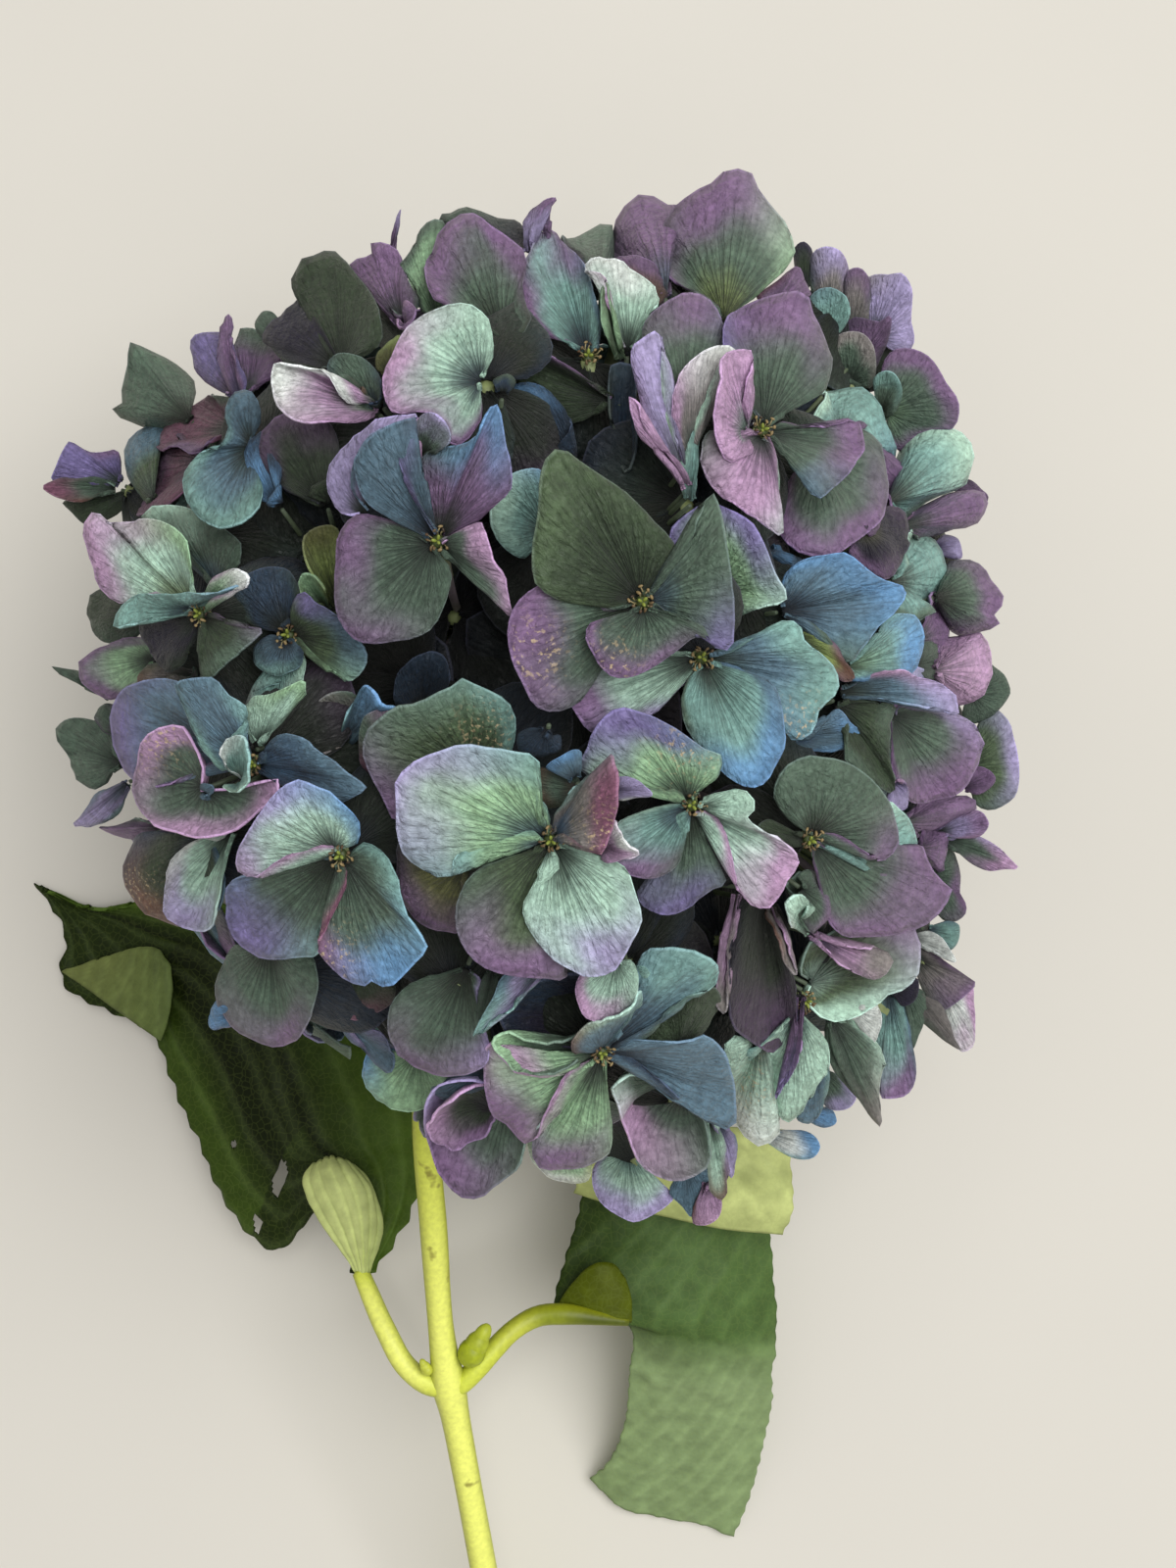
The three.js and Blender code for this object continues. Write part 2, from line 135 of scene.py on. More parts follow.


# The florets that the picture shows: the eye's column, row and lift over the head's surface, and its sepals.
# A sepal's claw is given where it isn't the eye. Its arch is how far it bulges, in millimetres, its shade
# dims its colours, partly to its own darker colour and partly as painted shade where it lies in shadow,
# and its spots are where it is freckled.
SEEN = [
    ((447, 553, 4), [
        petal("CSSSV", (4, 9, 6), [420, 541, 388, 523, 370, 504, 363, 486, 361, 474, 371, 452, 391, 437,
            412, 428, 428, 426, 422, 434, 412, 446, 406, 462, 409, 480, 425, 508], shade=0.75),
        petal("GLLLS", (1, 4, 3), [352, 525, 340, 515, 334, 500, 336, 474, 351, 455, 370, 440, 383, 430,
            400, 424, 428, 422, 415, 430, 395, 436, 373, 452, 362, 474, 360, 500], claw=(372, 530), arch=0,
            shade=0.85),
        petal("KKKKK", (4, 5, 4), [422, 498, 414, 485, 414, 471, 414, 452, 429, 425, 428, 440, 424, 456,
            422, 474, 427, 496], claw=(428, 512)),
        petal("DGGLG", (6, 9, 6), [425, 455, 416, 450, 420, 438, 430, 424, 444, 423, 455, 433, 460, 446,
            456, 454, 445, 459, 437, 462], claw=(430, 470)),
        petal("DPGBP", (3, 8, 5), [430, 512, 416, 486, 422, 474, 437, 462, 458, 455, 474, 451, 489, 440,
            498, 422, 506, 410, 509, 416, 513, 431, 516, 455, 521, 474, 521, 500, 500, 522, 470, 542],
            shade=0.85),
        petal("GGGPP", (0, 2, 2), [460, 580, 455, 615, 435, 645, 400, 655, 362, 653, 345, 630, 341, 600,
            342, 570, 350, 535, 362, 525, 385, 527, 420, 541], shade=0.85),
        petal("GGKKG", (6, 2, 0), [470, 540, 487, 534, 497, 552, 500, 572, 510, 590, 518, 612, 525, 630,
            505, 615, 490, 595, 470, 578, 455, 562]),
    ]),
    ((777, 440, 6), [
        petal("GGVPG", (3, 8, 4), [760, 410, 745, 375, 738, 345, 740, 331, 758, 313, 776, 304, 795, 299,
            810, 298, 822, 304, 832, 318, 844, 341, 850, 360, 848, 382, 840, 402, 820, 412, 797, 425]),
        petal("MKKKK", (5, 10, 8), [765, 455, 752, 470, 746, 472, 737, 463, 728, 446, 726, 429, 730, 411,
            735, 387, 734, 369, 741, 360, 753, 357, 763, 360, 766, 369, 763, 387, 761, 403, 760, 417,
            764, 432], claw=(762, 447)),
        petal("GKMKG", (0, -1, 2), [788, 458, 796, 490, 797, 520, 798, 548, 775, 533, 750, 517, 730, 500,
            717, 478, 716, 455, 726, 438, 745, 445], arch=2),
        petal("GGPPS", (3, 4, 1), [800, 430, 825, 433, 850, 435, 878, 437, 882, 450, 875, 470, 862, 488,
            848, 500, 832, 511, 822, 500, 810, 480, 797, 455]),
        petal("DGGPS", (-4, 2, -2), [675, 400, 662, 372, 655, 348, 659, 325, 669, 313, 685, 304, 700, 298,
            713, 301, 725, 310, 734, 322, 739, 338, 737, 358, 728, 385, 715, 410], claw=(700, 430)),
        petal("GLPLE", (1, 5, 1), [690, 470, 672, 454, 657, 428, 650, 400, 643, 370, 645, 353, 657, 344,
            668, 337, 674, 341, 673, 372, 673, 400, 681, 430, 696, 464], claw=(702, 500)),
        petal("KKKKK", (4, 6, 4), [690, 486, 672, 462, 655, 446, 646, 426, 643, 404, 649, 412, 655, 430,
            668, 448, 688, 466, 702, 486], claw=(704, 504)),
        petal("GAKWM", (4, 6, 2), [696, 462, 689, 438, 688, 415, 690, 397, 698, 377, 712, 362, 728, 354,
            744, 352, 752, 356, 738, 368, 727, 385, 718, 408, 709, 434], claw=(703, 470)),
        petal("TTMTT", (0, 0, 0), [696, 500, 693, 478, 700, 455, 709, 437, 713, 460, 709, 490],
            claw=(704, 516)),
    ]),
    ((655, 615, 8), [
        petal("DDFFD", (4, 8, 5), [630, 620, 600, 618, 570, 612, 547, 595, 543, 565, 548, 525, 551, 490,
            560, 465, 570, 457, 590, 467, 610, 482, 640, 503, 665, 528, 685, 550, 692, 562, 680, 580,
            668, 600]),
        petal("SGGGV", (6, 10, 4), [672, 600, 690, 575, 705, 550, 718, 520, 723, 504, 728, 503, 733, 515,
            740, 540, 745, 575, 748, 610, 749, 640, 745, 662, 735, 664, 725, 655, 712, 645, 690, 635,
            675, 620]),
        petal("DGGPP", (-2, 1, 2), [630, 660, 610, 690, 590, 718, 565, 727, 548, 722, 535, 700, 521, 670,
            518, 648, 524, 622, 540, 603, 565, 594, 590, 602, 612, 622], spots=(545, 665)),
        petal("GGGPP", (3, 1, 4), [690, 632, 712, 640, 725, 645, 727, 655, 712, 650, 690, 665, 665, 682,
            640, 692, 622, 690, 605, 668, 597, 650, 600, 638, 625, 630], arch=2, spots=(620, 682)),
    ]),
    ((715, 671, 2), [
        petal("GMLPP", (0, 3, 1), [706, 688, 688, 708, 668, 728, 640, 740, 605, 748, 585, 725, 573, 700,
            573, 680, 583, 668, 600, 662, 640, 668, 680, 662]),
        petal("GSTTB", (3, 2, 0), [740, 665, 770, 648, 790, 637, 805, 632, 817, 640, 820, 655, 835, 664,
            850, 678, 858, 695, 850, 712, 838, 724, 832, 742, 820, 755, 803, 753, 797, 730, 785, 705,
            745, 680], spots=(827, 742)),
        petal("GTSBG", (3, 3, 2), [735, 680, 760, 685, 785, 695, 797, 715, 800, 740, 801, 757, 795, 775,
            785, 795, 775, 803, 758, 802, 735, 785, 712, 760, 697, 735, 695, 712, 702, 690]),
    ]),
    ((562, 857, 8), [
        petal("SETLT", (2, 6, 5), [545, 848, 520, 850, 500, 853, 480, 862, 463, 872, 461, 885, 457, 893,
            445, 894, 428, 888, 413, 875, 405, 850, 404, 820, 404, 795, 415, 783, 440, 771, 465, 762,
            485, 761, 505, 765, 530, 768, 551, 776, 545, 790, 540, 805, 552, 815, 562, 835]),
        petal("GGAAG", (-5, -5, -3), [535, 870, 505, 890, 485, 910, 468, 928, 456, 920, 451, 912, 456, 895,
            464, 880, 474, 868, 490, 859, 512, 852, 545, 850]),
        petal("DOPPD", (-5, -4, -5), [470, 905, 472, 935, 470, 952, 455, 952, 440, 947, 424, 938, 412, 925,
            406, 905, 404, 880, 406, 860, 430, 866, 455, 872], claw=(484, 872), shade=0.8),
        petal("NGDND", (-4, -3, -4), [588, 812, 575, 822, 560, 825, 545, 820, 540, 805, 541, 789, 550, 783,
            565, 788, 592, 796], claw=(600, 805)),
        petal("CCCCC", (-6, -5, -6), [556, 752, 572, 752, 572, 766, 560, 773, 545, 776, 530, 770, 528, 750,
            540, 742], claw=(560, 740)),
        petal("FFGPG", (0, 3, 4), [548, 888, 538, 905, 533, 925, 540, 950, 555, 970, 575, 990, 580, 998,
            550, 999, 520, 996, 490, 985, 475, 970, 465, 945, 466, 925, 472, 905, 482, 890, 500, 880,
            530, 872, 548, 870]),
        petal("GMMLM", (3, 4, 3), [590, 865, 610, 873, 630, 880, 642, 890, 645, 900, 650, 915, 655, 940,
            648, 955, 640, 970, 625, 993, 605, 998, 580, 988, 555, 970, 540, 950, 533, 930, 537, 913,
            555, 900, 570, 885]),
        petal("BATRR", (5, 13, 9), [570, 845, 568, 832, 580, 812, 597, 796, 610, 785, 622, 769, 626, 785,
            628, 810, 629, 825, 622, 845, 612, 873, 600, 855, 590, 848, 580, 850], spots=(614, 855)),
        petal("KKKWK", (8, 5, 5), [628, 838, 634, 850, 641, 862, 654, 871, 640, 876, 625, 880, 614, 878],
            claw=(612, 862)),
        petal("LLLLW", (3, 4, 3), [628, 794, 640, 792, 655, 799, 667, 811, 650, 814, 630, 816],
            claw=(618, 806)),
        petal("SSBBS", (0, 2, 0), [572, 792, 557, 784, 575, 771, 592, 765, 594, 780, 590, 793],
            claw=(590, 800)),
    ]),
    ((705, 821, 3), [
        petal("GEGVS", (4, 6, 5), [690, 806, 665, 806, 640, 802, 610, 795, 592, 788, 597, 770, 605, 748,
            618, 730, 635, 722, 655, 727, 680, 738, 703, 752, 720, 764, 737, 772, 737, 785, 727, 794,
            714, 797, 712, 812], spots=(700, 768)),
        petal("STGPM", (3, 4, 2), [688, 835, 695, 850, 699, 868, 693, 882, 680, 892, 660, 897, 645, 894,
            625, 882, 618, 868, 622, 850, 632, 838, 655, 828, 675, 822, 692, 820]),
        petal("DGGVG", (0, 0, -2), [718, 838, 722, 860, 735, 885, 740, 900, 725, 908, 705, 925, 690, 933,
            670, 932, 652, 920, 650, 908, 665, 897, 685, 888, 698, 868, 700, 845]),
        petal("GMMKK", (7, 5, 3), [718, 811, 735, 808, 757, 805, 768, 812, 771, 824, 763, 833, 775, 848,
            795, 857, 810, 867, 816, 882, 803, 900, 797, 915, 780, 928, 765, 922, 752, 903, 747, 880,
            743, 862, 735, 842, 725, 828]),
    ]),
    ((825, 857, 4), [
        petal("DGGGP", (3, 7, 5), [815, 845, 803, 835, 794, 824, 790, 810, 792, 795, 801, 782, 815, 774,
            832, 771, 852, 774, 872, 782, 890, 795, 904, 812, 913, 831, 918, 850, 916, 868, 905, 880,
            890, 872, 868, 860, 845, 850]),
        petal("GTMTT", (1, 1, 1), [850, 850, 880, 838, 905, 817, 920, 827, 938, 853, 933, 878, 922, 893,
            909, 899, 888, 888, 860, 868]),
        petal("GGPPP", (0, 2, 0), [850, 868, 880, 885, 908, 897, 926, 882, 938, 856, 946, 876, 957, 894,
            972, 912, 960, 930, 940, 947, 905, 955, 865, 957, 846, 940, 838, 915, 832, 893, 826, 872]),
        petal("DDDDD", (0, 1, 0), [812, 850, 798, 842, 785, 836, 772, 842, 785, 854, 800, 862, 814, 864]),
        petal("GGGPG", (-2, 0, -2), [812, 892, 822, 886, 834, 893, 842, 908, 846, 926, 840, 944, 830, 952,
            818, 940, 810, 915], claw=(815, 905)),
    ]),
    ((348, 872, 6), [
        petal("GMKLB", (3, 6, 5), [340, 860, 322, 862, 300, 870, 275, 884, 255, 894, 243, 890, 241, 875,
            252, 850, 268, 825, 283, 806, 302, 795, 320, 800, 340, 812, 356, 828, 366, 845, 366, 860]),
        petal("DGTVS", (2, 1, 3), [348, 888, 342, 910, 335, 930, 326, 955, 325, 973, 300, 978, 260, 977,
            245, 968, 232, 940, 229, 915, 232, 902, 250, 896, 290, 882, 322, 872]),
        petal("GGTBR", (4, 4, 5), [364, 862, 378, 862, 390, 868, 400, 880, 405, 897, 409, 918, 416, 936,
            429, 952, 437, 966, 425, 981, 412, 995, 400, 1006, 391, 1007, 380, 1000, 374, 1006, 360, 1003,
            343, 990, 325, 970, 335, 945, 347, 915, 353, 893], spots=(336, 975)),
    ]),
    ((260, 780, 3), [
        petal("GGKKK", (2, 7, 5), [240, 806, 262, 801, 285, 797, 281, 812, 270, 822, 258, 832, 245, 842,
            225, 851, 200, 854, 175, 848, 152, 837, 138, 822, 134, 800, 138, 775, 148, 755, 163, 742,
            182, 742, 194, 758, 206, 780], claw=(214, 803), arch=-2, spots=(162, 755)),
        petal("SSSSS", (2, 3, 2), [206, 801, 212, 798, 218, 802, 219, 808, 214, 812, 207, 811],
            claw=(213, 814)),
        petal("VSPVS", (-1, 2, 0), [215, 780, 170, 800, 135, 795, 118, 765, 112, 735, 120, 712, 140, 697,
            165, 692, 190, 700, 220, 730, 245, 760]),
        petal("SSTST", (4, 8, 5), [226, 785, 218, 776, 208, 765, 198, 745, 189, 722, 180, 698, 200, 692,
            215, 692, 226, 701, 237, 712, 250, 725, 246, 741, 237, 752, 230, 766]),
        petal("MTWTM", (8, 9, 8), [226, 772, 230, 756, 240, 750, 250, 755, 255, 775, 252, 796, 240, 809,
            230, 800], claw=(250, 800)),
        petal("BCSSC", (2, 4, 1), [272, 776, 277, 756, 290, 748, 312, 755, 332, 772, 351, 789, 373, 804,
            356, 816, 336, 823, 311, 816, 284, 800]),
        petal("GMMEG", (0, 2, 0), [252, 742, 246, 728, 256, 712, 276, 708, 296, 700, 313, 694, 313, 706,
            301, 722, 286, 741, 267, 756], claw=(262, 765)),
    ]),
    ((205, 627, 2), [
        petal("YMKKE", (4, 6, 4), [160, 606, 137, 610, 116, 614, 104, 602, 95, 582, 88, 559, 86, 535,
            93, 523, 102, 524, 110, 533, 132, 530, 157, 530, 175, 537, 188, 550, 196, 572, 199, 599]),
        petal("YEKWK", (5, 7, 5), [212, 602, 218, 590, 231, 583, 244, 580, 253, 588, 252, 598, 240, 604,
            226, 608]),
        petal("STTTS", (7, 6, 7), [192, 626, 160, 631, 132, 636, 115, 637, 119, 624, 131, 612, 156, 607,
            190, 606, 222, 604, 250, 597, 236, 609, 216, 617], claw=(204, 620)),
        petal("DDPGD", (2, 2, 1), [216, 625, 236, 635, 258, 640, 266, 641, 260, 653, 244, 667, 226, 681,
            216, 692, 207, 693, 209, 675, 215, 655, 211, 640]),
        petal("DXDXD", (-2, -1, -2), [200, 650, 190, 676, 171, 686, 155, 673, 148, 652, 147, 638, 162, 632,
            182, 628], shade=0.8),
    ]),
    ((295, 648, -8), [
        petal("DCDCD", (1, 3, 1), [262, 642, 244, 630, 240, 602, 252, 586, 275, 578, 296, 582, 306, 600,
            303, 626, 284, 642], shade=0.8),
        petal("CSCTC", (2, 3, 2), [301, 652, 312, 666, 308, 681, 290, 691, 270, 686, 258, 673, 260, 658,
            279, 648], shade=0.8),
        petal("DFVSE", (4, 6, 3), [300, 632, 298, 612, 306, 604, 316, 612, 332, 620, 347, 630, 361, 650,
            371, 662, 372, 674, 367, 687, 355, 696, 340, 686, 320, 666, 306, 652]),
        petal("GTMAT", (1, 2, 1), [303, 658, 312, 668, 312, 690, 300, 715, 272, 745, 256, 735, 252, 712,
            270, 703, 294, 693]),
    ]),
    ((600, 365, -6), [
        petal("CTPPS", (4, 9, 6), [588, 354, 560, 345, 541, 324, 531, 305, 530, 288, 533, 271, 540, 258,
            551, 242, 562, 233, 574, 247, 588, 259, 598, 275, 607, 300, 614, 322, 613, 342, 608, 358]),
        petal("GMKWM", (8, 12, 7), [631, 349, 626, 326, 619, 302, 616, 283, 610, 279, 600, 273, 599, 266,
            604, 263, 616, 262, 626, 264, 640, 273, 654, 283, 666, 295, 672, 308, 663, 320, 657, 332,
            656, 345, 650, 352], claw=(640, 364)),
        petal("EFEFE", (6, 8, 6), [628, 366, 617, 340, 614, 310, 616, 286, 620, 302, 627, 326, 632, 348,
            637, 366], claw=(634, 374)),
        petal("XNXPX", (1, 3, 1), [655, 305, 640, 276, 627, 263, 641, 262, 656, 268, 672, 278, 683, 296,
            674, 312], claw=(662, 320), shade=0.8),
        petal("DDDDP", (-4, -3, 3), [620, 412, 600, 428, 565, 432, 535, 405, 518, 375, 519, 352, 540, 357,
            565, 365, 590, 379, 609, 395], claw=(632, 412)),
    ]),
    ((617, 478, -14), [
        petal("CCCBC", (4, 6, 4), [540, 475, 516, 445, 504, 412, 514, 396, 530, 391, 548, 391, 562, 399,
            573, 414, 581, 440, 568, 458], claw=(590, 475), shade=0.75),
        petal("DCDCD", (6, 8, 6), [624, 420, 622, 395, 627, 372, 642, 370, 648, 400, 650, 430, 648, 462,
            640, 482, 630, 455], claw=(640, 495), shade=0.75),
    ]),
    ((497, 392, 0), [
        petal("CMPKM", (3, 5, 4), [492, 424, 474, 449, 460, 455, 455, 436, 443, 424, 420, 422, 403, 422,
            394, 410, 390, 394, 391, 379, 402, 358, 412, 339, 425, 324, 440, 315, 455, 311, 468, 310,
            484, 315, 496, 325, 502, 340, 503, 366]),
        petal("DCDGD", (2, 3, 2), [505, 395, 502, 388, 509, 383, 518, 381, 526, 388, 520, 400],
            claw=(512, 408)),
    ]),
    ((614, 1073, 4), [
        petal("XXXCX", (-2, -3, -2), [580, 1068, 555, 1066, 530, 1062, 513, 1048, 511, 1030, 525, 1018,
            545, 1006, 568, 999, 592, 997, 602, 1020, 600, 1045], arch=-5, shade=0.7),
        petal("DGGEG", (3, 4, 4), [598, 1076, 578, 1086, 560, 1092, 540, 1097, 526, 1092, 512, 1078,
            503, 1062, 515, 1058, 535, 1064, 560, 1066, 585, 1062, 600, 1056], arch=-2),
        petal("SSNMT", (5, 7, 4), [585, 1074, 583, 1064, 596, 1052, 612, 1043, 628, 1036, 642, 1026,
            654, 1010, 650, 1030, 640, 1045, 626, 1058]),
        petal("GEKPK", (2, 2, 2), [590, 1078, 570, 1094, 548, 1098, 528, 1094, 510, 1076, 498, 1060,
            494, 1082, 494, 1106, 500, 1130, 510, 1145, 525, 1155, 538, 1163, 546, 1158, 553, 1140,
            563, 1118, 576, 1096]),
        petal("WEYWE", (-4, -3, -4), [604, 1196, 598, 1206, 585, 1208, 570, 1206, 554, 1200, 543, 1190,
            537, 1177, 541, 1162, 560, 1158], claw=(580, 1160)),
        petal("GEMPE", (2, 3, 2), [602, 1084, 585, 1094, 570, 1115, 556, 1142, 543, 1168, 546, 1188,
            562, 1196, 585, 1197, 606, 1188, 620, 1178, 625, 1160, 623, 1135, 620, 1110, 618, 1088]),
        petal("CSSSC", (3, 3, 1), [630, 1068, 642, 1058, 668, 1061, 695, 1062, 718, 1057, 736, 1070,
            746, 1092, 750, 1120, 749, 1149, 738, 1153, 722, 1142, 702, 1127, 684, 1109, 660, 1093,
            638, 1080]),
        petal("CSSTG", (1, 4, 3), [628, 1058, 642, 1035, 650, 1010, 648, 990, 658, 973, 688, 969, 718, 974,
            734, 988, 729, 1005, 708, 1014, 688, 1027, 668, 1050, 648, 1068, 630, 1070], shade=0.85),
        petal("DDDDD", (-3, 0, -3), [658, 1062, 680, 1036, 705, 1016, 728, 1008, 736, 1025, 726, 1045,
            714, 1060, 688, 1066], claw=(690, 1075)),
        petal("MMMKK", (6, 5, 5), [641, 978, 651, 993, 651, 1010, 644, 1025, 631, 1037, 612, 1043, 600, 1040,
            590, 1025, 588, 1005, 595, 992, 610, 985], claw=(630, 974)),
        petal("TTTMT", (2, 2, 1), [652, 982, 662, 990, 667, 1002, 660, 1014, 650, 1020], claw=(640, 985)),
    ]),
    ((821, 1021, 2), [
        petal("MFGPM", (5, 6, 3), [818, 990, 820, 975, 828, 965, 840, 960, 852, 953, 870, 944, 892, 937,
            912, 931, 925, 932, 934, 942, 939, 958, 941, 975, 940, 992, 930, 1003, 912, 1014, 893, 1025,
            874, 1035, 857, 1041, 844, 1040, 833, 1033, 826, 1020], claw=(823, 1004), arch=-2),
        petal("LKKAK", (9, 10, 9), [834, 955, 848, 960, 862, 966, 880, 968, 900, 969, 910, 974, 911, 984,
            904, 994, 893, 1000, 881, 997, 867, 989, 853, 979, 840, 967, 828, 957], claw=(822, 950)),
        petal("GMWMG", (10, 12, 10), [812, 949, 803, 940, 800, 928, 801, 918, 807, 912, 815, 912, 823, 917,
            826, 922, 820, 927, 818, 936, 821, 945], claw=(826, 952)),
        petal("GAGGG", (5, 6, 5), [824, 947, 819, 935, 823, 925, 817, 914, 806, 908, 801, 901, 808, 896,
            816, 889, 826, 893, 836, 902, 843, 915, 846, 930, 844, 942], claw=(836, 955)),
        # dimmed with painted shade: this sepal hangs in shadow
        petal("DDXPX", (1, 4, 5), [795, 925, 805, 950, 812, 980, 813, 1005, 812, 1030, 808, 1050, 801, 1064,
            790, 1072, 776, 1069, 762, 1060, 750, 1050, 744, 1035, 742, 1010, 745, 980, 748, 950, 752, 922],
            claw=(775, 900), shade=0.36),
        petal("AKAAK", (4, 6, 4), [751, 925, 747, 950, 743, 975, 741, 1000, 740, 1020, 738, 1035, 733, 1030,
            730, 1018, 731, 1000, 734, 975, 738, 950, 743, 925], claw=(752, 905), shade=0.9),
        petal("NAKAN", (6, 8, 7), [790, 930, 796, 950, 803, 972, 810, 990, 811, 996, 804, 988, 796, 970,
            789, 950, 782, 932], claw=(783, 920)),
        petal("GMMWM", (1, 2, 2), [786, 1075, 792, 1100, 793, 1125, 797, 1150, 796, 1160, 785, 1167,
            770, 1168, 758, 1160, 750, 1145, 745, 1125, 741, 1100, 741, 1080, 740, 1066, 748, 1059,
            762, 1058], claw=(775, 1052), spots=(766, 1112)),
        petal("TMMMT", (3, 4, 3), [826, 1042, 838, 1053, 846, 1068, 845, 1088, 838, 1104, 828, 1122,
            816, 1138, 804, 1148, 796, 1140, 792, 1122, 785, 1108, 774, 1090, 764, 1072, 780, 1060],
            claw=(812, 1030)),
        petal("XPPVX", (7, 7, 6), [819, 1030, 818, 1055, 815, 1080, 808, 1098, 797, 1112, 792, 1120,
            797, 1105, 805, 1090, 811, 1072, 812, 1050, 812, 1030], claw=(818, 1010)),
        petal("SSTSS", (0, 0, 0), [842, 1085, 846, 1105, 842, 1125, 835, 1140, 825, 1147, 815, 1145,
            812, 1138, 825, 1120], claw=(832, 1080)),
        petal("GGMAG", (3, 4, 2), [862, 1040, 872, 1038, 880, 1050, 892, 1060, 900, 1072, 903, 1085,
            900, 1100, 897, 1112, 898, 1130, 899, 1150, 890, 1142, 880, 1128, 868, 1110, 858, 1092,
            848, 1070, 845, 1052], claw=(846, 1035)),
        petal("CGGDG", (0, 0, 0), [862, 1050, 878, 1080, 886, 1105, 893, 1135, 878, 1124, 863, 1108,
            850, 1092, 842, 1068], claw=(846, 1030), shade=0.8),
        petal("WWWWW", (2, 3, 2), [868, 1040, 880, 1030, 893, 1023, 899, 1033, 898, 1048, 891, 1063,
            880, 1054], claw=(862, 1026)),
    ]),
    ((738, 312, 4), [
        petal("YGPPE", (4, 10, 6), [728, 312, 709, 302, 688, 286, 677, 270, 673, 252, 676, 230, 685, 215,
            700, 201, 721, 188, 737, 175, 746, 171, 764, 172, 773, 188, 783, 203, 795, 221, 806, 237,
            812, 255, 807, 267, 795, 282, 777, 298, 761, 311], claw=(738, 330)),
        petal("SPGPX", (-5, -2, -4), [655, 302, 630, 272, 624, 246, 627, 228, 635, 212, 645, 204, 662, 200,
            676, 204, 697, 205, 688, 218, 680, 240, 678, 268, 685, 290], claw=(680, 305)),
        petal("DGXGD", (-7, -5, -7), [602, 278, 586, 258, 577, 247, 588, 238, 605, 232, 624, 230, 626, 250,
            620, 270], claw=(615, 285)),
        petal("PPRPP", (-2, 0, -2), [775, 305, 790, 288, 805, 276, 812, 272, 822, 286, 828, 303, 812, 300,
            795, 300], claw=(785, 318)),
        # a dark sepal low in a gap, its darkness painted shade
        plain("XDDDX", (-6, -6, -6), (720, 335), (668, 250), 50, shade=0.6),
    ]),
    ((530, 335, -2), [
        petal("DGPPD", (4, 7, 4), [455, 314, 444, 306, 436, 292, 434, 279, 438, 261, 444, 246, 452, 232,
            462, 220, 474, 214, 487, 219, 499, 229, 512, 236, 524, 245, 536, 258, 533, 285, 536, 309,
            543, 327, 537, 337, 520, 349, 504, 341, 480, 325], claw=(515, 352)),
        petal("XXXGX", (-2, 0, -2), [515, 262, 470, 240, 448, 222, 461, 214, 475, 210, 490, 215, 506, 220,
            524, 223, 533, 230, 539, 248, 535, 262], claw=(520, 275), shade=0.7),
        petal("LLLPL", (4, 8, 5), [537, 252, 533, 236, 534, 225, 543, 214, 555, 206, 569, 203, 561, 214,
            550, 225, 543, 238], claw=(540, 264)),
        petal("LPLPL", (4, 7, 4), [555, 243, 555, 228, 556, 211, 560, 211, 559, 228, 559, 243],
            claw=(557, 256)),
    ]),
    ((440, 320, -8), [
        petal("GPPPG", (2, 4, 2), [378, 302, 367, 286, 359, 270, 369, 264, 380, 262, 379, 253, 386, 250,
            398, 251, 408, 258, 411, 270, 418, 288, 427, 314, 416, 326, 396, 312], claw=(412, 335)),
        petal("KPKPK", (6, 6, 5), [412, 306, 425, 318, 422, 328, 415, 337, 409, 326], claw=(418, 342)),
        petal("EEGGE", (3, 5, 3), [431, 318, 425, 301, 419, 284, 408, 270, 416, 260, 423, 244, 429, 230,
            437, 226, 450, 226, 457, 240, 452, 272, 450, 300], claw=(446, 328)),
        petal("XPXLX", (4, 8, 4), [397, 254, 401, 240, 404, 226, 408, 212, 408, 228, 405, 244, 402, 256],
            claw=(400, 266)),
        # a dark sepal low in a gap, its darkness painted shade
        plain("CDDDC", (-4, -4, -4), (430, 375), (374, 294), 44, shade=0.6),
    ]),
    ((352, 372, 0), [
        petal("DDDDD", (3, 5, 3), [322, 345, 306, 312, 297, 290, 298, 278, 308, 268, 322, 259, 336, 252,
            350, 263, 367, 284, 382, 305, 389, 325, 386, 350, 372, 362], claw=(350, 378), shade=0.8),
        petal("DXDXD", (2, 3, 2), [322, 378, 292, 370, 275, 354, 264, 342, 273, 330, 288, 314, 306, 304,
            322, 320, 338, 350], claw=(350, 380), shade=0.8),
        petal("GGGGG", (-3, -2, -3), [264, 342, 260, 330, 268, 319, 280, 320, 286, 332], claw=(280, 350)),
        petal("CGCGC", (5, 6, 4), [348, 398, 334, 375, 339, 365, 355, 362, 373, 367, 384, 378, 390, 394,
            389, 412, 375, 412], claw=(388, 424)),
        petal("NGNGN", (6, 7, 5), [352, 402, 342, 386, 352, 382, 364, 388, 371, 398, 369, 408],
            claw=(378, 416)),
        petal("EKKWW", (9, 12, 9), [382, 428, 366, 431, 351, 433, 334, 430, 308, 431, 293, 424, 282, 412,
            277, 395, 276, 380, 280, 368, 291, 372, 309, 376, 328, 378, 338, 387, 346, 401, 357, 410,
            370, 408, 382, 418], claw=(392, 417)),
        petal("OOOYO", (1, 2, 1), [386, 380, 386, 364, 394, 351, 407, 341, 411, 352, 401, 371],
            claw=(398, 388)),
    ]),
    ((395, 440, -6), []),
    ((250, 385, -4), [
        petal("PVPVP", (0, 3, 0), [222, 398, 205, 386, 195, 368, 194, 352, 201, 342, 212, 338, 226, 337,
            236, 347, 241, 372, 238, 396], claw=(242, 405)),
        petal("GPGGP", (0, 3, 0), [248, 396, 240, 370, 240, 346, 246, 336, 262, 337, 278, 345, 289, 364,
            282, 382, 266, 394], claw=(252, 408)),
        petal("VPVPV", (3, 7, 4), [232, 396, 223, 370, 224, 346, 227, 328, 232, 320, 238, 325, 240, 345,
            244, 366, 251, 396], claw=(246, 410)),
    ]),
    ((185, 425, -6), [
